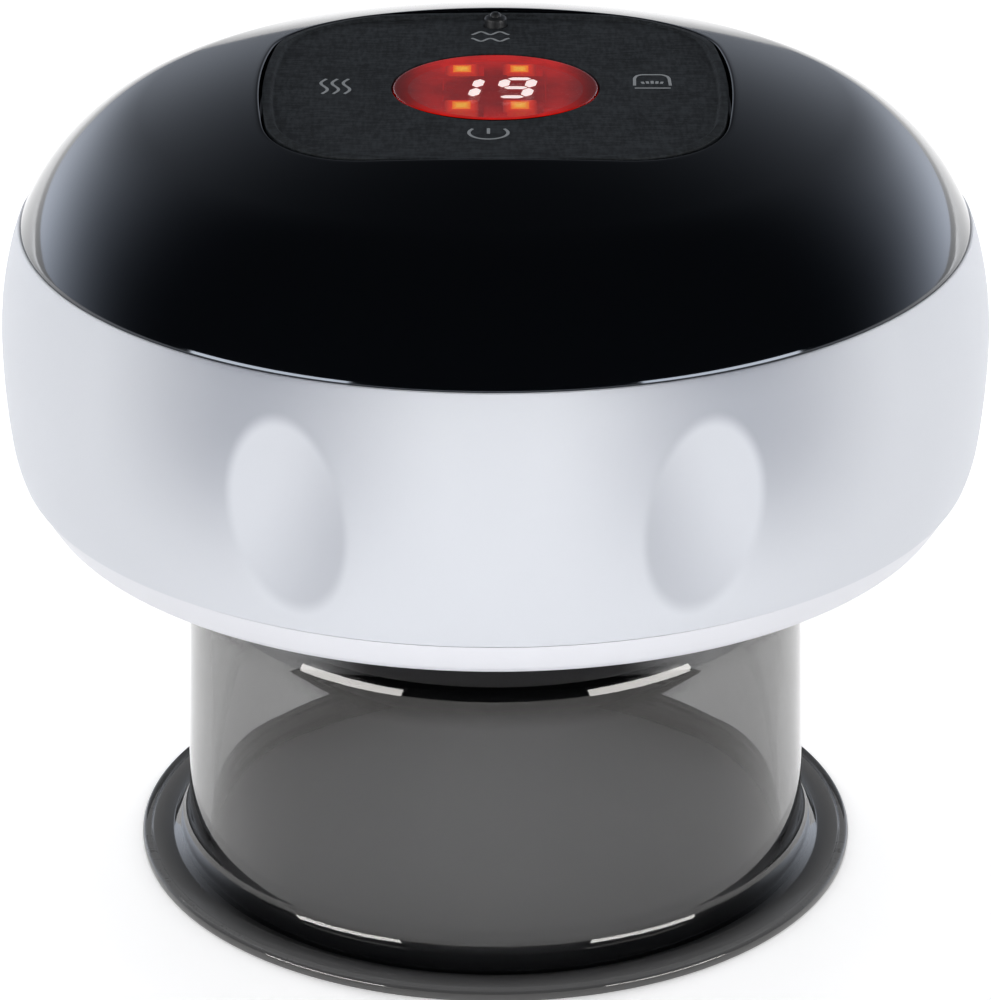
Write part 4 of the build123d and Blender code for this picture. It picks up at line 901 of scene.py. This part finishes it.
def lampGlow():
    material, tree, shader = blank("lampGlow", Roughness=0.5, Emission_Strength=lampLook["glow"],
                                   Specular_IOR_Level=0.0, Base_Color=linear(*lampLook["base"]))
    x, y = coordinates(tree, "XY")
    shares = []
    for value, middle, half, size in ((x, lamps["aside"], lamps["x"], lamps["spotWidth"]),
                                      (y, lamps["ahead"], lamps["y"], lamps["spotDepth"])):
        away = gap(tree, gap(tree, value, middle * mm), half * mm)
        shares.append(calculate(tree, "DIVIDE", away, size / 2 * mm))
    # 1 at the edge of the amber spot
    out = calculate(tree, "MAXIMUM", *shares)
    halo = blendColour(tree, ramp(tree, out, *lampLook["haloFade"]), lampLook["halo"], lampLook["haloEdge"])
    spot = blendColour(tree, ramp(tree, out, *lampLook["spotFade"]), lampLook["spot"], lampLook["spotEdge"])
    whole = blendColour(tree, ramp(tree, out, *lampLook["outFade"]), spot, halo)
    grain = ramp(tree, noiseOn(tree, lampLook["grain"], 2), *lampLook["grainFade"])
    tree.links.new(blendColour(tree, grain, whole, lampLook["haloEdge"]), shader.inputs["Emission Color"])
    return material


def makeLamps():
    made = []
    for x in (lamps["aside"] - lamps["x"], lamps["aside"] + lamps["x"]):
        for y in (lamps["ahead"] - lamps["y"], lamps["ahead"] + lamps["y"]):
            piece = addBox((x, y, lamps["foot"] + lamps["height"] / 2),
                           (lamps["width"], lamps["depth"], lamps["height"]))
            editAll(piece)
            bpy.ops.mesh.bevel(offset=lamps["edge"], segments=2)
            leaveEdit()
            made.append(piece)
    return finishPiece(joinPieces("indicatorLamps", made), amberGlow, "head",
                       ["indicator_lights"])


amberGlow = lampGlow()
makeLamps()


# Status light at the back of the pad; the tip's rings are radii and depths below the top

status = {"radius": 1.1, "foot": 77.51, "top": 80.5, "y": 19.0, "edge": 0.3, "edgeDepth": 0.75,
          "tip": ((0.68, 0.42), (0.55, 0.42), (0.48, 0.2), (0.3, 0.04), (0, 0)), "steps": 64}
statusFinish = moulded("statusDark", (24, 26, 29), 0.5, 2500, 0.1, 0.1)


def makeStatus():
    radius, edge, top = status["radius"], status["edge"], status["top"]
    edgeZ = top - status["edgeDepth"]
    profile = [(0, status["foot"]), (radius, status["foot"]), (radius, edgeZ)]
    profile += arcPoints((radius - edge, edgeZ), edge, 0, 60, 4)[1:]
    profile += [(ring, top - depth) for ring, depth in status["tip"]]
    piece = lathe("statusLight", profile, status["steps"])
    piece.location = (0, status["y"], 0)
    return finishPiece(piece, statusFinish, "head", ["status_light"])


makeStatus()
print("display done")


# Suction cup: rim with its lip, hollow fillet, wall, shoulder and neck

cup = {"rim": 35.9, "lipHeight": 1.25, "lipWidth": 0.95, "lipRound": 0.45, "flangeTop": 1.0, "flangeIn": 32.7,
       "flare": 2.2, "flareSweep": 55, "flareZ": 3.95, "wallFoot": 31.05, "draft": 1.5, "wall": 2.3,
       "mouth": 2.2, "shoulderZ": 27.8, "shoulder": 5.2, "neck": 24.0, "neckWall": 2.2, "neckRise": 10.7,
       "chamfer": 0.6, "fillet": 0.8, "boreRound": 0.3, "lipCorner": ((0.1, 0), (0, -0.04)),
       "lipFoot": ((-0.13, 0.04), (-0.25, 0)), "flangeEnd": ((0.1, 0), (-0.04, 0.07)),
       "outerRings": (4, 12, 19.85), "innerRings": (8, 17), "steps": 300}
cupLook = {"smoke": (40, 40, 42), "depth": 345, "bend": 1.5, "gloss": (1, 0.975, 0.945, 1), "roughness": 0.02,
           "wear": 400, "wearSpread": 0.3, "rimShade": (86, 86, 87), "rimFade": (0.001, 0.0034),
           "neckShade": (50, 50, 51), "neckFade": (0.0258, 0.0286), "besideFade": (0.011, 0.021, 1, 0)}


def smokyPlastic():
    # clear plastic whose grey lies in its depth, with painted shade low on the rim and down the middle of the
    # neck
    material, tree, shader = blank("smokyPlastic", Transmission_Weight=1.0, IOR=cupLook["bend"],
                                   Specular_Tint=cupLook["gloss"])
    x, z = coordinates(tree, "XZ")
    # painted shade, darker low on the rim
    tint = blendColour(tree, ramp(tree, z, *cupLook["rimFade"]), cupLook["rimShade"], (255, 255, 255))
    # painted shade on the neck, darkest where |x| is small
    neck = product(tree, ramp(tree, z, *cupLook["neckFade"]),
                   ramp(tree, calculate(tree, "ABSOLUTE", x), *cupLook["besideFade"]))
    tree.links.new(blendColour(tree, neck, tint, cupLook["neckShade"]), shader.inputs["Base Color"])
    smoke = addNode(tree, "ShaderNodeVolumeAbsorption", Color=linear(*cupLook["smoke"]),
                    Density=cupLook["depth"])
    tree.links.new(smoke.outputs["Volume"], tree.nodes["Material Output"].inputs["Volume"])
    varyGloss(tree, shader, noiseOn(tree, cupLook["wear"], 3), cupLook["roughness"], cupLook["wearSpread"])
    return material


def beside(x, z, offsets):
    return [(x + out, z + up) for out, up in offsets]


def makeCup():
    lean = tan(radians(cup["draft"]))
    foot, wall, flareZ = cup["wallFoot"], cup["wall"], cup["flareZ"]
    bend, bendZ = cup["shoulder"], cup["shoulderZ"]
    wallTop = foot - (bendZ - flareZ) * lean
    bendX, top = wallTop - bend, bendZ + bend
    neck, neckTop, bore = cup["neck"], top + cup["neckRise"], cup["neck"] - cup["neckWall"]
    fillet, chamfer, boreRound = cup["fillet"], cup["chamfer"], cup["boreRound"]
    # lip, and the flat of the rim
    lip, lipTop, lipIn = cup["lipRound"], cup["lipHeight"], cup["rim"] - cup["lipWidth"]
    profile = arcPoints((cup["rim"] - lip, lip), lip, -90, 0, 5)
    profile += arcPoints((cup["rim"] - lip, lipTop - lip), lip, 0, 90, 5)
    profile += beside(lipIn, lipTop, cup["lipCorner"]) + beside(lipIn, cup["flangeTop"], cup["lipFoot"])
    profile += beside(cup["flangeIn"], cup["flangeTop"], cup["flangeEnd"])
    # up the outside to the neck
    profile += arcPoints((foot + cup["flare"], flareZ), cup["flare"], 180 + cup["flareSweep"], 180, 10)
    profile += [(foot - up * lean, flareZ + up) for up in cup["outerRings"]]
    profile += arcPoints((bendX, bendZ), bend, 0, 90, 14)
    profile += arcPoints((neck + fillet, top + fillet), fillet, 270, 180, 6)
    profile += [(neck, neckTop - chamfer), (neck - chamfer, neckTop), (bore + chamfer, neckTop),
                (bore, neckTop - chamfer)]
    # down the inside to the mouth
    profile += arcPoints((bore + boreRound, top - wall + boreRound), boreRound, 180, 270, 3)
    profile += arcPoints((bendX, bendZ), bend - wall, 90, 0, 10)
    profile += [(wallTop - wall + down * lean, bendZ - down) for down in cup["innerRings"]]
    profile += arcPoints((foot - wall + cup["mouth"], cup["mouth"]), cup["mouth"], 180, 270, 8)
    profile.append(profile[0])
    return finishPiece(lathe("suctionCup", profile, cup["steps"]), smoky, "cup", ["cup"], 40)


smoky = smokyPlastic()
makeCup()
print("cup done")


# Finish of the pieces that stay as the frame has them

underWindow = {"display_shroud": plateRed, "display_module": plateRed}
finishes = {"shell_white": shellFinish, "dome_black": domeFinish, "pad_charcoal": padFinish,
            "smoky_plastic": smoky, "display_red": lensGlass, "digit_white": segmentLit,
            "indicator_amber": amberGlow}


def addFinish(slotName, *values, **sockets):
    # the material is named as its slot is
    first, *others = slotName.split("_")
    finishes[slotName] = moulded(first + "".join(word.title() for word in others), *values, **sockets)


# lighter than the shell's white: partly its own colour, partly painted light from the floor below
addFinish("base_white", (240, 241, 247), 0.45, 3000, 0.05, 0.02)
addFinish("clear_silicone", (226, 226, 220), 0.4, 900, 0.05, 0.04, Transmission_Weight=0.3)
addFinish("screw_steel", (168, 170, 174), 0.3, 2500, 0.1, 0.08, Metallic=1.0)
addFinish("frosted_plastic", (236, 237, 240), 0.5, 1500, 0.1, 0.02, Transmission_Weight=0.6)
addFinish("heater_aluminium", (206, 207, 210), 0.32, 1800, 0.15, 0.05, (1, 0.08, 1), Metallic=1.0)
addFinish("sensor_black", (16, 16, 18), 0.5, 2200, 0.1, 0.1)
addFinish("reflector_white", (242, 242, 242), 0.25, 1500, 0.03, 0.02)
addFinish("board_green", (16, 74, 40), 0.35, 1400, 0.12, 0.2)
addFinish("lamp_red", (196, 38, 32), 0.3, 1500, 0.05, 0.08)
addFinish("nozzle_white", (232, 232, 232), 0.45, 2500, 0.08, 0.03)
addFinish("filter_felt", (226, 226, 220), 0.95, 2600, 0.8, 0.1, Sheen_Weight=0.3)
addFinish("chassis_grey", (160, 160, 164), 0.5, 2500, 0.1, 0.05)
addFinish("cell_sleeve", (32, 88, 158), 0.25, 600, 0.05, 0.08)
addFinish("foam_grey", (64, 64, 66), 0.95, 1600, 0.9, 0.15)
addFinish("motor_steel", (186, 188, 192), 0.28, 2000, 0.1, 0.06, (0.1, 1, 1), Metallic=1.0)
addFinish("bearing_bronze", (158, 116, 66), 0.4, 2500, 0.2, 0.15, Metallic=1.0)
addFinish("terminal_brass", (204, 166, 84), 0.3, 2500, 0.1, 0.08, Metallic=1.0)
addFinish("magnet_grey", (58, 58, 62), 0.7, 1600, 0.3, 0.15)
addFinish("wire_red", (178, 22, 20), 0.45, 2000, 0.05, 0.08)
addFinish("core_steel", (128, 130, 135), 0.4, 3000, 0.2, 0.1, (6, 1, 1), Metallic=1.0)
addFinish("winding_copper", (184, 94, 48), 0.3, 2600, 0.5, 0.15, (1, 1, 5), Metallic=1.0)
addFinish("gear_nylon", (236, 231, 214), 0.4, 1800, 0.06, 0.04)
addFinish("pump_black", (24, 24, 26), 0.5, 2200, 0.12, 0.1)
addFinish("diaphragm_rubber", (26, 26, 26), 0.75, 1800, 0.15, 0.1)
addFinish("plunger_red", (184, 26, 23), 0.4, 2200, 0.06, 0.06)
slotOf = {part["node"]: part["material_slot"] for part in frame["record"]["subparts"]}
for name, node in nodes.items():
    finish = underWindow.get(name, finishes[slotOf[name]])
    if node.material_slots:
        for place in node.material_slots:
            place.material = finish
    else:
        node.data.materials.append(finish)
print("frame pieces finished")


# Floor, lamps and surroundings

studio = {"floor": 6, "floorColour": (250, 250, 251), "floorRoughness": 0.9, "floorGlow": 0.5,
          "glowFade": (0.0305, 0.038), "mirroredGlow": 1.35, "ambient": 0.345, "mirrorDim": 0.03,
          "mirrorBright": 1.7, "mirrorAzimuth": 138, "mirrorFrom": 0.2, "mirrorNarrow": 7, "mirrorLow": 1.35,
          "mirrorHigh": 0.45, "mirrorTint": (230, 238, 252), "clearFade": (0.02, 0.23, 1, 0), "aim": 0.03}
# azimuth from the front, elevation, distance, width, height and power
strips = {"stripLeft": (-52.5, 5, 1.0, 0.72, 0.26, 7.9), "stripRight": (52.5, 5, 1.0, 0.72, 0.26, 7.9)}
fills = {"frontFill": (0, 5, 1.0, 0.4, 0.4, 5.7), "sideLeft": (-128, 14, 1.0, 0.5, 0.7, 5.0),
         "sideRight": (128, 14, 1.0, 0.5, 0.7, 5.0), "overhead": (180, 65, 1.2, 0.9, 0.5, 2.0)}


def raysOf(tree, *kinds):
    # 1 for rays of any of these kinds
    path = addNode(tree, "ShaderNodeLightPath")
    found = [path.outputs["Is " + kind + " Ray"] for kind in kinds]
    total = found[0]
    for ray in found[1:]:
        total = calculate(tree, "MAXIMUM", total, ray)
    return total


def makeFloor():
    deselectAll()
    bpy.ops.mesh.primitive_plane_add(size=studio["floor"], location=(0, 0, 0))
    floor = bpy.context.object
    floor.name = "floor"
    material, tree, shader = blank("floorPaper", Base_Color=linear(*studio["floorColour"]),
                                   Roughness=studio["floorRoughness"], Specular_IOR_Level=0.0,
                                   Emission_Color=(1, 1, 1, 1))
    # it glows round the cup and not in it
    x, y = coordinates(tree, "XY")
    seen = calculate(tree, "MAXIMUM", raysOf(tree, "Camera", "Transmission"),
                     product(tree, raysOf(tree, "Glossy"), studio["mirroredGlow"]))
    around = ramp(tree, distance(tree, x, y), *studio["glowFade"], 0, studio["floorGlow"])
    tree.links.new(product(tree, seen, around), shader.inputs["Emission Strength"])
    floor.data.materials.append(material)


def makeWorld():
    # white to the eye, and low down through glass; in mirrored rays bright only behind both sides
    world = bpy.data.worlds.new("studio")
    bpy.context.scene.world = world
    world.use_nodes = True
    tree = world.node_tree
    background = tree.nodes["Background"]
    x, y, z = coordinates(tree, "XYZ", "Generated")
    through = product(tree, raysOf(tree, "Transmission"), ramp(tree, z, *studio["clearFade"]))
    direct = calculate(tree, "MAXIMUM", raysOf(tree, "Camera"), through)
    mirrored = raysOf(tree, "Glossy", "Transmission")
    turn = radians(studio["mirrorAzimuth"])
    facing = calculate(tree, "ADD", product(tree, calculate(tree, "ABSOLUTE", x), sin(turn)),
                       product(tree, y, -cos(turn)))
    near = ramp(tree, facing, studio["mirrorFrom"], 1, kind="LINEAR")
    low = ramp(tree, calculate(tree, "ABSOLUTE", z), 0, studio["mirrorHigh"], studio["mirrorLow"], 1)
    glow = product(tree, calculate(tree, "POWER", near, studio["mirrorNarrow"]), studio["mirrorBright"], low)
    glow = calculate(tree, "ADD", glow, studio["mirrorDim"])
    strength = blend(tree, direct, blend(tree, mirrored, studio["ambient"], glow), 1.0)
    tree.links.new(strength, background.inputs["Strength"])
    onlyMirrored = calculate(tree, "SUBTRACT", mirrored, direct)
    tint = blendColour(tree, onlyMirrored, (255, 255, 255), studio["mirrorTint"])
    tree.links.new(tint, background.inputs["Color"])


def softBox(name, azimuth, elevation, distance, width, height, power):
    # lamp at an angle round the object, facing it
    a, e = radians(azimuth), radians(elevation)
    deselectAll()
    place = (distance * cos(e) * sin(a), -distance * cos(e) * cos(a), studio["aim"] + distance * sin(e))
    bpy.ops.object.light_add(type="AREA", location=place, rotation=(radians(90) - e, 0, a))
    lamp = bpy.context.object
    lamp.name = name
    lamp.data.shape = "RECTANGLE"
    lamp.data.size = width
    lamp.data.size_y = height
    lamp.data.energy = power
    return lamp


makeFloor()
makeWorld()
for name, values in strips.items():
    # seen only in reflections
    softBox(name, *values).visible_diffuse = False
for name, values in fills.items():
    # never seen in reflections
    lamp = softBox(name, *values)
    lamp.visible_glossy = lamp.visible_transmission = False
print("studio ready")

bpy.context.scene.view_settings.view_transform = "Standard"
